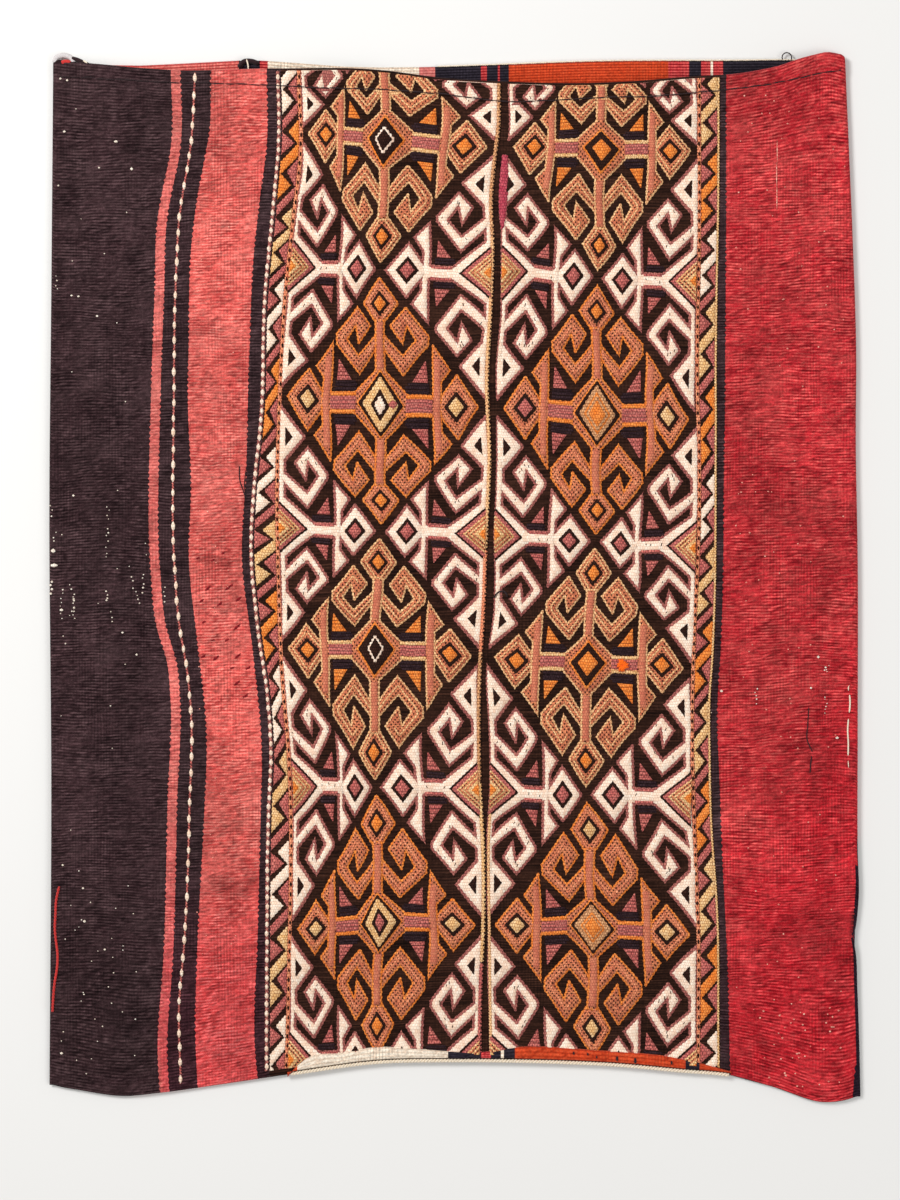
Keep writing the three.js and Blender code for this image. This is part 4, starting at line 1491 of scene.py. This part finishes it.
CREAM_LOOKS = {
    "edge": "fringe_brocade", "fill": "cream_brocade", "width": FRINGE_WIDTH, "growth": FRINGE_GROWTH,
    "triangle": "pink_brocade", "side_eyes": {1: "pink_brocade"}, "heart": CREAM_HEART,
}

tick_draw = random.Random(33)
for column in (0, 1):
    for row, pulls in enumerate(ROW_PULLS):
        edge, arm_edge, core, triangle, eye = ROW_LOOKS[row % 2]
        lay_figure(brown_place(column, row, pulls), True, BROWN_FIGURE, {
            "edge": edge, "fill": "brown_brocade", "width": EDGE_WIDTH, "growth": EDGE_GROWTH, "core": core,
            "arm_edge": arm_edge, "triangle": triangle,
            "side_eyes": {-1: "pink_brocade" if (column, row) in PINK_LEFT_EYES else eye, 1: eye},
            "end_eye": "gold_brocade" if (column, row) in GOLD_END_EYES else "orange_brocade",
            "middle": brown_place(column, row), "heart": HEARTS[column, row]})
    for line in range(len(ROW_PULLS) + 1):
        for side in (-1, 1):
            lay_figure(cream_place(column, line, side), False, CREAM_FIGURE, CREAM_LOOKS)


# Borders of the panel: zigzags, beads, dashes and thin lines

PANEL_TOP = 60
PANEL_FOOT = 1095
ZIGZAG_START = 0.12
ZIGZAG = {
    "main": [
        [(1, -0.02), (0.38, 0.12), (1, 0.27)],
        [(1, 0.25), (1, 0.40), (0, 0.62), (0, 0.47)],
        [(0, 0.6), (0.72, 0.74), (0, 0.9)],
    ],
    "pink_brocade": [
        [(0, 0.13), (0.72, 0.25), (0, 0.38)],
        [(1, 0.44), (0.42, 0.58), (1, 0.76)],
        [(1, 0.76), (1, 0.88), (0, 1.1), (0, 0.98)],
    ],
}
BORDERS = [
    # lines at the left and the right, then each unit's first triangle in pixels and its yarn
    (beside(BEAD_LINE, 3.6), beside(PANEL_LEFT, -4), [
        (50, "cream"), (132, "orange"), (218, "gold"), (290, "cream"), (371, "orange"), (457, "cream"),
        (530, "gold"), (601, "orange"), (677, "cream"), (762, "gold"), (852, "cream"), (938, "gold"),
        (1027, "cream"), (1110, "orange")]),
    (beside(PANEL_RIGHT, 4.2), beside(STRIPE_LEFT, -3), [
        (6, "orange"), (85, "gold"), (163.5, "orange"), (240, "cream"), (313, "gold"), (398, "orange"),
        (484, "cream"), (557, "gold"), (632, "orange"), (711.5, "gold"), (791, "orange"), (869, "gold"),
        (956, "orange"), (1043, "cream"), (1125, "gold")]),
]

STRIPS = [
    # yarn, line, its two sides beside the line, top and foot in photograph pixels, and lift
    ("fringe_brocade", BEAD_LINE, -1.4, 1.4, PANEL_TOP, PANEL_FOOT, 0.5),
    ("pink_brocade", DASH_LINE, -0.7, 0.7, PANEL_TOP, PANEL_FOOT, 0.45),
    ("salmon_brocade", PANEL_LEFT, -3.4, -0.2, PANEL_TOP, PANEL_FOOT, 0.9),
    ("salmon_brocade", PANEL_RIGHT, 0.4, 3.4, PANEL_TOP, PANEL_FOOT, 0.9),
    ("tan_brocade", CENTRE_LEFT, -4.2, -0.9, PANEL_TOP, 236, 1.6),
    ("peach_brocade", CENTRE_LEFT, -4.2, -0.9, 236, 548, 1.6),
    ("salmon_brocade", CENTRE_LEFT, -4.2, -0.9, 548, 652, 1.6),
    ("tan_brocade", CENTRE_LEFT, -4.2, -0.9, 652, 780, 1.6),
    ("gold_brocade", CENTRE_LEFT, -4.2, -0.9, 780, 962, 1.6),
    ("pink_brocade", CENTRE_LEFT, -4.2, -0.9, 962, PANEL_FOOT, 1.6),
    ("peach_brocade", CENTRE_RIGHT, 0.0, 2.3, 806, PANEL_FOOT, 1.6),
    ("gold_brocade", STRIPE_LEFT, -2.6, -1.0, PANEL_TOP, PANEL_FOOT, 0.8),
]
BEADS = [
    # yarn, line, place beside it, pitch, half length and half width in pixels, lift and wander in millimetres
    ("cream_brocade", BEAD_LINE, 0.0, 9.0, 3.3, 1.55, 1.0, 0.4),
    ("cream_brocade", DASH_LINE, 0.0, 15.4, 4.7, 1.55, 1.1, 1.7),
    ("dark_brocade", PANEL_LEFT, -1.8, 9.6, 2.6, 1.0, 1.2, 0.4),
    ("dark_brocade", PANEL_RIGHT, 1.9, 9.6, 2.6, 1.0, 1.2, 0.4),
    ("dark_brocade", CENTRE_LEFT, -1.2, 4.4, 1.3, 0.7, 1.75, 0.4),
]
BEAD_SIZES = (0.88, 1.1)
BEAD_ASIDE = 0.3
BEAD_FLAT = 0.3
CRIMSON_PATCH = [
    (502.5, 155), (500.5, 172), (499, 192), (499, 210), (501, 230), (503.7, 229), (506, 211), (508, 192),
    (508, 172), (507.5, 157),
]
CRIMSON_LIFT = 1.5


def strip(line, left, right, top, foot):
    """A narrow strip down the cloth beside a line, all in photograph pixels."""
    y = np.arange(photo_y(foot), photo_y(top), RIB_PITCH)
    down = np.stack([line(y) + left * PIXEL, y], axis=1)
    up = np.stack([line(y) + right * PIXEL, y], axis=1)
    return np.concatenate([up, down[::-1]])


def lens(x, y, half_length, half_width):
    """A pointed bead that lies along Y."""
    flat = half_length * BEAD_FLAT
    return [
        (x, y - half_length), (x + half_width, y - flat), (x + half_width, y + flat),
        (x, y + half_length), (x - half_width, y + flat), (x - half_width, y - flat),
    ]


def lay_beads(name, line, beside_line, pitch, half_length, half_width, lift, wander):
    """Beads in a row down a line."""
    draw = random.Random(name)
    for y in np.arange(photo_y(PANEL_FOOT), photo_y(PANEL_TOP), pitch * PIXEL):
        y = y + draw.uniform(-wander, wander)
        size = draw.uniform(*BEAD_SIZES) * PIXEL
        x = float(line(y)) + beside_line * PIXEL + draw.uniform(-BEAD_ASIDE, BEAD_ASIDE)
        fields[name].lay(lens(x, y, half_length * size, half_width * size), lift, teeth=0, step=UNSPLIT)


for left, right, units in BORDERS:
    for (top, colour), (next_top, _) in zip(units, units[1:]):
        for title, shapes in ZIGZAG.items():
            name = colour + "_brocade" if title == "main" else title
            for shape in shapes:
                across, down = dense(shape).T
                y = photo_y(top + (down - ZIGZAG_START) * (next_top - top))
                fields[name].lay(np.stack([mixed(left(y), right(y), across), y], axis=1), EDGE_LIFT)
for name, line, left, right, top, foot, lift in STRIPS:
    fields[name].lay(strip(line, left, right, top, foot), lift)
for row in BEADS:
    lay_beads(*row)
fields["crimson_brocade"].lay([(photo_x(px), photo_y(py)) for px, py in CRIMSON_PATCH], CRIMSON_LIFT)


# Wear of the ground: bare warps, faded dots and dark flecks, in photograph pixels

BARE_COLUMNS = [
    # top and foot of a column of dots, their number and half size
    ((50.3, 506), (50.6, 515), 3, 0.8), ((54, 532), (54, 541), 3, 0.7), ((50, 582), (49.8, 593), 4, 1.3),
    ((108.4, 506), (107.5, 541), 9, 0.85), ((106, 544), (106, 557), 4, 0.75),
    ((105.5, 589), (108, 604), 6, 1.05),
    ((111, 612), (114, 622), 3, 0.8), ((144, 574), (144, 592), 6, 1.05), ((131, 577), (138.6, 603), 8, 0.95),
    ((61, 590), (60.6, 618), 8, 0.95), ((63.6, 636), (66, 644), 2, 0.9), ((72, 590), (73.5, 618), 9, 1.1),
    ((75, 594), (71.5, 612), 5, 1.0), ((147, 544), (148, 556), 3, 0.6), ((164.5, 588), (165.5, 601), 4, 0.8),
    ((54.5, 276), (57, 289), 4, 0.9), ((711, 713), (711, 724), 4, 0.8), ((755.8, 684), (755.8, 704), 6, 0.8),
    ((826, 690), (826.5, 716), 9, 0.65), ((825, 670), (829, 666), 3, 1.0), ((826, 672), (829.5, 668), 3, 0.9),
]
BARE_SPOTS = [
    # middle, half width and half height
    (52.4, 550.7, 2.0, 2.0), (53.3, 565.3, 3.3, 1.9), (73, 495.5, 1.0, 1.0), (123, 632.6, 0.9, 0.9),
    (137, 654.5, 0.9, 0.9), (59.6, 77.6, 1.0, 0.9), (66.5, 79.3, 1.0, 0.9), (63.6, 130.8, 1.1, 1.1),
    (116, 141.7, 1.6, 1.2), (131.7, 169, 1.2, 1.6), (99, 167.6, 0.8, 0.8), (57.6, 184.8, 0.8, 0.8),
    (71, 295, 1.0, 0.8), (78, 296, 1.0, 0.8), (97, 316, 1.0, 0.9), (60.7, 610, 1.5, 1.3),
    (84, 921.7, 1.2, 1.2),
    (104.6, 949.6, 0.9, 0.9), (60.5, 1054.5, 1.3, 1.1), (62, 865.6, 0.9, 0.9), (82.5, 888.6, 0.9, 0.9),
    (818.6, 657, 1.2, 1.2), (837.8, 738, 1.5, 1.1), (811, 688, 0.9, 0.9), (721.4, 691, 1.2, 1.2),
]
FLECKS = [
    # middle and half length of a slanting fleck on the coral band
    (207.6, 588.6, 2.2), (228, 587.8, 2.5), (231, 585.5, 1.5), (238.6, 599, 2.6), (237, 627, 3.2),
    (219.7, 604, 2.2), (201.6, 600.7, 1.5), (204, 622, 1.3), (203, 656.7, 2.0), (216, 658, 2.6),
    (237.8, 656, 2.8), (248, 668, 2.0), (237, 683, 2.6), (245.5, 696, 2.2), (212.8, 560, 1.3),
    (223, 553, 1.0), (198, 558, 1.2), (227, 640, 1.4), (213, 640, 1.0), (232, 668, 1.2),
]
# A light line down the red wool, and a pink mend on a figure's heart
LIGHT_LINE = [(776.8, 152, 0.32, 11), (776.3, 175, 0.32, 12), (776.6, 198, 0.3, 13)]
HEART_MEND = (393, 404.6, 4, 4.5)
HEART_MEND_LIFT = DARK_LIFT + 5 * RING_STEP
SCATTERED = [
    # yarn, number of dots, left, right, top, foot and half size
    ("faded_brocade", 110, 735, 846, 80, 1085, 0.6), ("faded_brocade", 40, 760, 846, 1000, 1090, 0.7),
    ("faded_brocade", 40, 196, 238, 90, 1060, 0.55), ("bare_brocade", 24, 60, 140, 90, 1060, 0.42),
    ("bare_brocade", 30, 60, 150, 880, 1075, 0.45),
]
WEAR_LIFT = 0.75
# How the dots of a bare column vary: shift along it, size, shift beside it and the share that is there
BARE_ALONG = 0.25
BARE_SIZES = (0.5, 1.25)
BARE_SIZE = 0.7
BARE_ASIDE = 1.3
BARE_CHANCE = 0.85
SCATTER_SIZES = (0.7, 1.3)
FLECK_HALF_WIDTH = 1.3
FLECK_SLANT = 1.1


def lay_dot(name, x, y, half_width, half_height, slant=0.0, lift=WEAR_LIFT):
    """A small worn spot; slant leans it to the right."""
    shape = np.array(lens(0.0, 0.0, half_height * PIXEL, half_width * PIXEL))
    shape[:, 0] += slant * shape[:, 1]
    fields[name].lay(shape + (photo_x(x), photo_y(y)), lift, teeth=0, step=UNSPLIT)


wear_draw = random.Random(51)
for (top_x, top_y), (foot_x, foot_y), count, size in BARE_COLUMNS:
    for k in range(count):
        share = (k + wear_draw.uniform(-BARE_ALONG, BARE_ALONG)) / max(count - 1, 1)
        dot = BARE_SIZE * size * wear_draw.uniform(*BARE_SIZES)
        x = mixed(top_x, foot_x, share) + wear_draw.uniform(-BARE_ASIDE, BARE_ASIDE)
        if wear_draw.random() < BARE_CHANCE:
            lay_dot("bare_brocade", x, mixed(top_y, foot_y, share), dot, dot)
for x, y, half_width, half_height in BARE_SPOTS:
    lay_dot("bare_brocade", x, y, half_width, half_height)
for line in LIGHT_LINE:
    lay_dot("faded_brocade", *line)
lay_dot("pink_brocade", *HEART_MEND, lift=HEART_MEND_LIFT)
for x, y, half_length in FLECKS:
    lay_dot("fleck_brocade", x, y, FLECK_HALF_WIDTH, half_length, slant=FLECK_SLANT)
for name, count, left, right, top, foot, size in SCATTERED:
    for _ in range(count):
        dot = size * wear_draw.uniform(*SCATTER_SIZES)
        lay_dot(name, wear_draw.uniform(left, right), wear_draw.uniform(top, foot), dot, dot)

cloth_pieces = [laid.build(name.replace("_brocade", "_floats"), name) for name, laid in fields.items()]


# Selvedge of the back, turned up over the front along the middle of the bottom

LIP_TOP = across_line(
    (286, 1080), (297, 1066), (345, 1053), (377, 1048), (420, 1050), (484, 1053), (518, 1048),
    (594, 1051), (684, 1060), (733, 1073))
LIP_START = 287
LIP_BANDS = [
    # yarn and right end in photograph pixels
    ("rust_wool", 297), ("cream_wool", 448), ("navy_wool", 481), ("madder_wool", 491), ("navy_wool", 501),
    ("cream_wool", 504), ("navy_wool", 515), ("rust_wool", 686), ("navy_wool", 700), ("rust_wool", 732),
]
LIP_FACES = 4.0
LIP_FOOT = 3.0
LIP_SHARES = (0.0, 0.1, 0.26, 0.42, 0.58, 0.74, 0.9, 1.0)
LIP_UNDER = (0.85, 0.5, 0.15)
LIP_SINK = -0.6
LIP_RIB = 0.35
LIP_ROUNDNESS = 6
LIP_PUCKER = (0.75, 1.15)
LIP_TONES = (0.86, 1.06)
LIP_FLAT_RIBS = 0.15
# The lip's trough value sets the painted shade in its rib troughs; the crest value sets the wear of its
# crests
LIP_RIB_VALUES = (0.25, 0.4, 1.0)
# Height over the lowest edge at which the width of the front is read along the bottom
BOTTOM_REACH = 60


def build_lip():
    """The turned selvedge: a flat roll with the ends of the back's bands."""
    stations, station_yarns = [photo_x(LIP_START)], []
    yarns = list(WOOLS)
    for name, end in LIP_BANDS:
        count = max(1, round((photo_x(end) - stations[-1]) / LIP_FACES))
        stations.extend(np.linspace(stations[-1], photo_x(end), count + 1)[1:])
        station_yarns.extend([yarns.index(name)] * count)
    x = np.array(stations)
    s = front_share(x, np.full_like(x, FOOT_Y + BOTTOM_REACH))[0]
    foot = bottom_y(s)
    draw = np.random.default_rng(61)
    pucker = mixed(*LIP_PUCKER, draw.random(len(x)))
    trough, flat_rib, crest = LIP_RIB_VALUES
    columns, ribs = [], []
    for k, share in enumerate(LIP_SHARES + LIP_UNDER):
        y = mixed(foot + LIP_FOOT, LIP_TOP(x), share)
        z = pinched(front_height(x, y), y - foot)
        crown = LIP_SINK
        if k < len(LIP_SHARES):
            round_top = math.sqrt(1 - (2 * share - 1) ** LIP_ROUNDNESS)
            crown = LIP_THICKNESS * round_top * pucker + LIP_RIB * (k % 2)
        columns.append(np.stack([x, y, z + crown], axis=1))
        rib = np.full(len(x), trough)
        if k % 2:
            rib = np.where(draw.random(len(x)) < LIP_FLAT_RIBS, flat_rib, crest)
        ribs.append(rib)
    grid = np.stack(columns, axis=1)
    around = grid.shape[1]
    faces, face_yarns = [], []
    for station in range(len(x) - 1):
        first = station * around
        for k in range(around):
            after = (k + 1) % around
            faces.append((first + k, first + around + k, first + around + after, first + after))
        face_yarns.extend([station_yarns[station]] * around)
    last = (len(x) - 1) * around
    faces.extend([tuple(range(around)), tuple(last + k for k in reversed(range(around)))])
    face_yarns.extend([station_yarns[0], station_yarns[-1]])
    tone = mixed(*LIP_TONES, draw.random((len(x), around)))
    return make_piece("turned_selvedge", grid.reshape(-1, 3), faces, yarns, face_yarns,
                      {"rib": np.stack(ribs, axis=1).ravel(), "tone": tone.ravel()})


cloth_pieces.append(build_lip())


# Sewing threads, the cord of the bottom seam and loose ends

THREAD_TIP = 0.4
PLY_OFFSET = 0.5
PLY_RADIUS = 0.55
PLY_SIDES = 5


class Threads:
    """Round threads of one yarn."""

    def __init__(self):
        self.points = []
        self.faces = []

    def run(self, path, radius, sides=6):
        """Adds a thread along a line of points in millimetres, thinner at its two ends."""
        path = np.asarray(path, float)
        ahead = np.gradient(path, axis=0)
        ahead /= np.maximum(np.linalg.norm(ahead, axis=1), TINY)[:, None]
        across = np.cross(ahead, (0, 0, 1))
        across /= np.maximum(np.linalg.norm(across, axis=1), TINY)[:, None]
        upward = np.cross(across, ahead)
        sizes = np.full(len(path), radius)
        sizes[[0, -1]] *= THREAD_TIP
        first = sum(len(ring) for ring in self.points)
        turns = np.arange(sides) * math.tau / sides
        around = across[:, None] * np.cos(turns)[:, None] + upward[:, None] * np.sin(turns)[:, None]
        self.points.append((path[:, None] + sizes[:, None, None] * around).reshape(-1, 3))
        for ring in range(len(path) - 1):
            low = first + ring * sides
            for k in range(sides):
                after = (k + 1) % sides
                self.faces.append((low + k, low + sides + k, low + sides + after, low + after))
        last = first + (len(path) - 1) * sides
        self.faces.append(tuple(first + k for k in range(sides)))
        self.faces.append(tuple(last + k for k in reversed(range(sides))))

    def twist(self, path, radius, plies, pitch):
        """Adds a cord of plies that wind round a line."""
        path = np.asarray(path, float)
        along = np.concatenate([[0], np.cumsum(np.linalg.norm(np.diff(path, axis=0), axis=1))])
        ahead = np.gradient(path, axis=0)
        across = np.cross(ahead, (0, 0, 1))
        across /= np.linalg.norm(across, axis=1)[:, None]
        for ply in range(plies):
            turn = math.tau * (along / pitch + ply / plies)
            offset = across * np.cos(turn)[:, None]
            offset[:, 2] += np.sin(turn)
            self.run(path + PLY_OFFSET * radius * offset, PLY_RADIUS * radius, sides=PLY_SIDES)

    def build(self, name, yarn_name, slot):
        return make_piece(name, np.concatenate(self.points), self.faces, [yarn_name])


def smooth_path(points, step):
    """A smooth line through points of any number of axes, with its own points a step apart."""
    knots = np.array(points, float)
    along = np.concatenate([[0], np.cumsum(np.linalg.norm(np.diff(knots, axis=0), axis=1))])
    places = np.linspace(0, along[-1], max(4, int(along[-1] / step) + 1))
    return np.stack([curve(np.stack([along, axis], axis=1))(places) for axis in knots.T], axis=1)


def on_front(points, lift, step=2.0):
    """A smooth line through photograph pixels that lies on the front."""
    x, y = smooth_path([(photo_x(px), photo_y(py)) for px, py in points], step).T
    return np.stack([x, y, front_height(x, y) + lift], axis=1)


# Stitches of the mouth hem, in dark thread and nearly unbroken, so that they also paint the shadow line along
# the hem's fold
HEM_STITCH = 13.0
HEM_LENGTHS = (0.7, 1.3)
HEM_DIP = 0.9
HEM_RISES = np.array([0.15, 0.45, 0.55, 0.45, 0.15])
HEM_THREAD = 0.62
HEM_OVER_PANEL = 1.5
HEM_START = 60
HEM_END = 842
hem_stitches_and_shadow = Threads()
stitch_draw = random.Random(71)
x = photo_x(HEM_START)
while x < photo_x(HEM_END):
    length = min(HEM_STITCH * stitch_draw.uniform(*HEM_LENGTHS), photo_x(HEM_END) - x)
    places = np.linspace(x, x + length, len(HEM_RISES))
    y = HEM_LINE(places) + stitch_draw.uniform(-HEM_DIP, 0.0)
    height = front_height(places, y) + HEM_RISES + HEM_OVER_PANEL * in_panel(places, y)
    hem_stitches_and_shadow.run(np.stack([places, y, height], axis=1), HEM_THREAD)
    x += length
hem_thread = hem_stitches_and_shadow.build("hem_stitches_and_shadow", "dark_thread", "dark_thread")
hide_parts("mouth_hem_thread")

# Cord of the bottom seam, along the foot of the turned selvedge
CORD_ENDS = (290, 730)
CORD_RADIUS = 2.1
CORD_RISE = 0.5
CORD_LIFT = 0.7
CORD_PITCH = 7.0
seam_cord = Threads()
x = np.arange(photo_x(CORD_ENDS[0]), photo_x(CORD_ENDS[1]), 1.0)
y = bottom_y(front_share(x, np.full_like(x, FOOT_Y + BOTTOM_REACH))[0]) + CORD_RISE
z = pinched(front_height(x, y), np.full_like(x, CORD_RISE)) + CORD_LIFT
seam_cord.twist(np.stack([x, y, z], axis=1), CORD_RADIUS, 2, CORD_PITCH)
bottom_cord = seam_cord.build("seam_cord", "cream_thread", "cream_thread")
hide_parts("bottom_seam_thread")

# Red thread of the left side seam, where it shows on the front
SIDE_THREAD = [
    (58.4, 887), (55.5, 901), (54.7, 916), (54.2, 930), (55.2, 941), (56.8, 956), (56.3, 968),
    (53.9, 983), (52.6, 996), (51.6, 1013),
]
SIDE_RADIUS = 1.5
SIDE_PITCH = 7.0
SIDE_LIFT = 0.35
SIDE_STEP = 1.2
# Where the thread lies double: part of the line, lift and radius
SIDE_DOUBLE = slice(4, 8)
SIDE_DOUBLE_LIFT = 0.5
SIDE_DOUBLE_RADIUS = 1.2
side_stitches = Threads()
side_stitches.twist(on_front(SIDE_THREAD, SIDE_LIFT, step=SIDE_STEP), SIDE_RADIUS, 2, SIDE_PITCH)
side_stitches.run(on_front(SIDE_THREAD[SIDE_DOUBLE], SIDE_DOUBLE_LIFT), SIDE_DOUBLE_RADIUS)
side_thread = side_stitches.build("side_seam_stitches", "madder_thread", "madder_thread")
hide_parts("side_seam_thread")

# Small loop at the back's rim
LOOP_MIDDLE = (788, 54.6)
LOOP_RADIUS = 4.9
LOOP_HEIGHT = 3.9
LOOP_DROP = 1.0
LOOP_PAST = 0.5
LOOP_POINTS = 22
LOOP_THREAD = 0.8
LOOP_PITCH = 3.0
loop_turns = np.linspace(-LOOP_PAST, math.pi + LOOP_PAST, LOOP_POINTS)
loop_path = np.stack([
    photo_x(LOOP_MIDDLE[0]) + LOOP_RADIUS * np.cos(loop_turns),
    photo_y(LOOP_MIDDLE[1]) + LOOP_RADIUS * np.sin(loop_turns) - LOOP_DROP,
    np.full(len(loop_turns), LOOP_HEIGHT)], axis=1)
loop = Threads()
loop.twist(loop_path, LOOP_THREAD, 2, LOOP_PITCH)
rim_loop = loop.build("rim_loop", "dark_thread", "dark_thread")
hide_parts("thread_loop")

# White thread along the back's rim
RIM_ENDS = (437, 799)
RIM_HEIGHT = 3.0
RIM_OVER = 1.6
RIM_THREAD = 1.0
RIM_PITCH = 5.0
x = np.arange(photo_x(RIM_ENDS[0]), photo_x(RIM_ENDS[1]), 2.0)
left, right = side_lines(1.0)
rim = Threads()
y = back_rim_y((x - left) / (right - left)) + RIM_OVER
rim.twist(np.stack([x, y, np.full_like(x, RIM_HEIGHT)], axis=1), RIM_THREAD, 2, RIM_PITCH)
rim_thread = rim.build("rim_thread", "cream_thread", "cream_thread")

# Loose ends and mends: yarn, radius, and the line in photograph pixels
LOOSE_ENDS = [
    ("dark_thread", 0.6, [(239.5, 466), (240, 481), (243, 490), (246, 499)]),
    ("dark_thread", 0.5, [(246, 470), (244.5, 484), (245.5, 496)]),
    ("dark_thread", 0.5, [(808.7, 707), (807.5, 725), (807, 740), (811, 749), (812.4, 752)]),
    ("dark_thread", 0.6, [(811.5, 756), (810.6, 764), (810, 773)]),
    ("dark_thread", 0.8, [(493.8, 598), (496.6, 593.6), (501, 591.2), (503.8, 591.6), (506.6, 594.4),
                          (507, 597)]),
    ("cream_thread", 0.6, [(850, 685.5), (849, 688), (849.4, 691)]),
    ("cream_thread", 0.85, [(850.3, 695), (850.8, 703), (850, 713)]),
    ("cream_thread", 0.8, [(849.2, 719), (848.4, 730), (849, 743), (848.8, 756)]),
    ("cream_thread", 0.5, [(848.8, 761), (849.4, 768)]),
]
# Rolled corner at the top left: yarn, radius, height, and the line in photograph pixels
CORNER_ROLL = [
    ("grey_thread", 2.9, 6.5, [(53.5, 62), (55, 57), (60, 54.4), (66, 54.6), (71, 57.6), (73, 62)]),
    ("madder_thread", 2.4, 8.0, [(60, 62), (65, 60.6), (70.5, 62)]),
    ("dark_thread", 2.2, 7.6, [(70, 57), (76, 58.4), (82, 61), (90, 65)]),
    ("cream_thread", 0.9, 9.4, [(82.5, 59.8), (85, 61), (86.8, 63.2), (88, 66.4)]),
]
# Lump on the back's rim, with a white end
RIM_LUMP = [
    ("dark_thread", 2.6, 4.6, [(238, 66), (243, 60), (251, 59.5), (258, 62)]),
    ("cream_thread", 0.8, 7.0, [(246, 58), (247.4, 63), (248, 68.5)]),
]
# Dark stitches through the turned selvedge, in photograph pixels
LIP_STITCHES = [
    # middle, half length and radius
    (574, 1054, 1.6, 0.9), (588, 1055, 1.4, 0.8), (597, 1058, 1.4, 0.8), (617.4, 1059.5, 2.4, 1.2),
    (635.6, 1061.5, 2.7, 1.3), (672, 1063.6, 1.9, 1.0),
]
LOOSE_LIFT = 0.5
ROLL_STEP = 1.5
ROLL_SIDES = 8
# Orange tuft in a figure
TUFT_MIDDLE = (622, 665)
TUFT_YARNS = 16
TUFT_SHARES = np.array([0.0, 0.25, 0.5, 0.75, 1.0])
TUFT_REACH = (3.5, 7.5)
TUFT_SCATTER = 0.3
TUFT_CURL = 0.5
TUFT_FOOT = 1.6
TUFT_RISE = 2.4
TUFT_BULGE = 0.7
TUFT_RADIUS = 1.3

loose = {name: Threads() for name in THREADS}
for name, radius, points in LOOSE_ENDS:
    line = on_front(points, LOOSE_LIFT)
    line[:, 2] += HEM_OVER_PANEL * in_panel(line[:, 0], line[:, 1])
    loose[name].run(line, radius)
for name, radius, height, points in CORNER_ROLL + RIM_LUMP:
    line = smooth_path([(photo_x(px), photo_y(py)) for px, py in points], ROLL_STEP)
    loose[name].run(np.column_stack([line, np.full(len(line), height)]), radius, sides=ROLL_SIDES)
for px, py, reach, radius in LIP_STITCHES:
    ends = [(px, py - reach), (px, py), (px, py + reach)]
    stitch = on_front(ends, LIP_THICKNESS + LOOSE_LIFT, step=1.0)
    loose["dark_thread"].run(stitch, radius)
tuft_draw = random.Random(81)
for k in range(TUFT_YARNS):
    turn = math.tau * k / TUFT_YARNS + tuft_draw.uniform(-TUFT_SCATTER, TUFT_SCATTER)
    reach = tuft_draw.uniform(*TUFT_REACH)
    heading = turn + TUFT_CURL * TUFT_SHARES
    x = photo_x(TUFT_MIDDLE[0]) + reach * TUFT_SHARES * np.cos(heading)
    y = photo_y(TUFT_MIDDLE[1]) + reach * TUFT_SHARES * np.sin(heading)
    z = front_height(x, y) + TUFT_FOOT + TUFT_RISE * np.sin(math.pi * TUFT_SHARES) ** TUFT_BULGE
    loose["orange_thread"].run(np.stack([x, y, z], axis=1), TUFT_RADIUS)
LOOSE_SLOTS = {"dark_thread": "dark_thread", "madder_thread": "madder_thread"}
loose_pieces = [
    laid.build("loose_" + name.replace("_thread", "_ends"), name, LOOSE_SLOTS.get(name, "cream_thread"))
    for name, laid in loose.items()]


# Floor, light and camera

def plain_material(name, colour, roughness):
    material = bpy.data.materials.new(name)
    material.use_nodes = True
    shader = material.node_tree.nodes["Principled BSDF"]
    shader.inputs["Base Color"].default_value = colour
    shader.inputs["Roughness"].default_value = roughness
    return material


def area_light(name, place, size, watts):
    """A large soft lamp that faces the middle of the sack."""
    lamp = bpy.data.lights.new(name, "AREA")
    lamp.shape = "DISK"
    lamp.size = size
    lamp.energy = watts
    lit = bpy.data.objects.new(name, lamp)
    lit.location = place
    lit.rotation_euler = (-Vector(place)).to_track_quat("-Z", "Y").to_euler()
    bpy.context.scene.collection.objects.link(lit)


FLOOR_SIZE = 60
FLOOR_COLOUR = (0.78, 0.77, 0.75, 1)
FLOOR_ROUGHNESS = 0.9
WORLD_LIGHT = 0.5
LAMPS = [
    # name, place and width in metres, and watts
    ("key_lamp", (-1.9, 1.5, 2.4), 1.2, 90),
    ("fill_lamp", (2.2, -1.0, 2.6), 1.8, 30),
]
bpy.ops.object.select_all(action="DESELECT")
bpy.ops.mesh.primitive_plane_add(size=FLOOR_SIZE, location=(0, 0, 0))
floor = bpy.context.active_object
floor.name = "floor"
floor.data.materials.append(plain_material("pale_floor", FLOOR_COLOUR, FLOOR_ROUGHNESS))

world = bpy.data.worlds.new("studio")
bpy.context.scene.world = world
world.use_nodes = True
background = world.node_tree.nodes["Background"]
background.inputs["Color"].default_value = (1, 1, 1, 1)
background.inputs["Strength"].default_value = WORLD_LIGHT
for lamp in LAMPS:
    area_light(*lamp)

# Straight down over the middle of the photograph, which is 1.238 m tall at the sack
VIEW_LENS = 85
VIEW_SENSOR = 36
SACK_TOP = 0.014
view_height = PHOTO_FRAME[1] * PIXEL * MM * VIEW_LENS / VIEW_SENSOR
camera_data = bpy.data.cameras.new("camera")
camera_data.lens = VIEW_LENS
camera_data.sensor_width = VIEW_SENSOR
camera = bpy.data.objects.new("camera", camera_data)
view_x, view_y = photo_x(PHOTO_FRAME[0] / 2) * MM, photo_y(PHOTO_FRAME[1] / 2) * MM
camera.location = (view_x, view_y, view_height + SACK_TOP)
bpy.context.scene.collection.objects.link(camera)
bpy.context.scene.camera = camera
bpy.context.scene.view_settings.view_transform = "Standard"
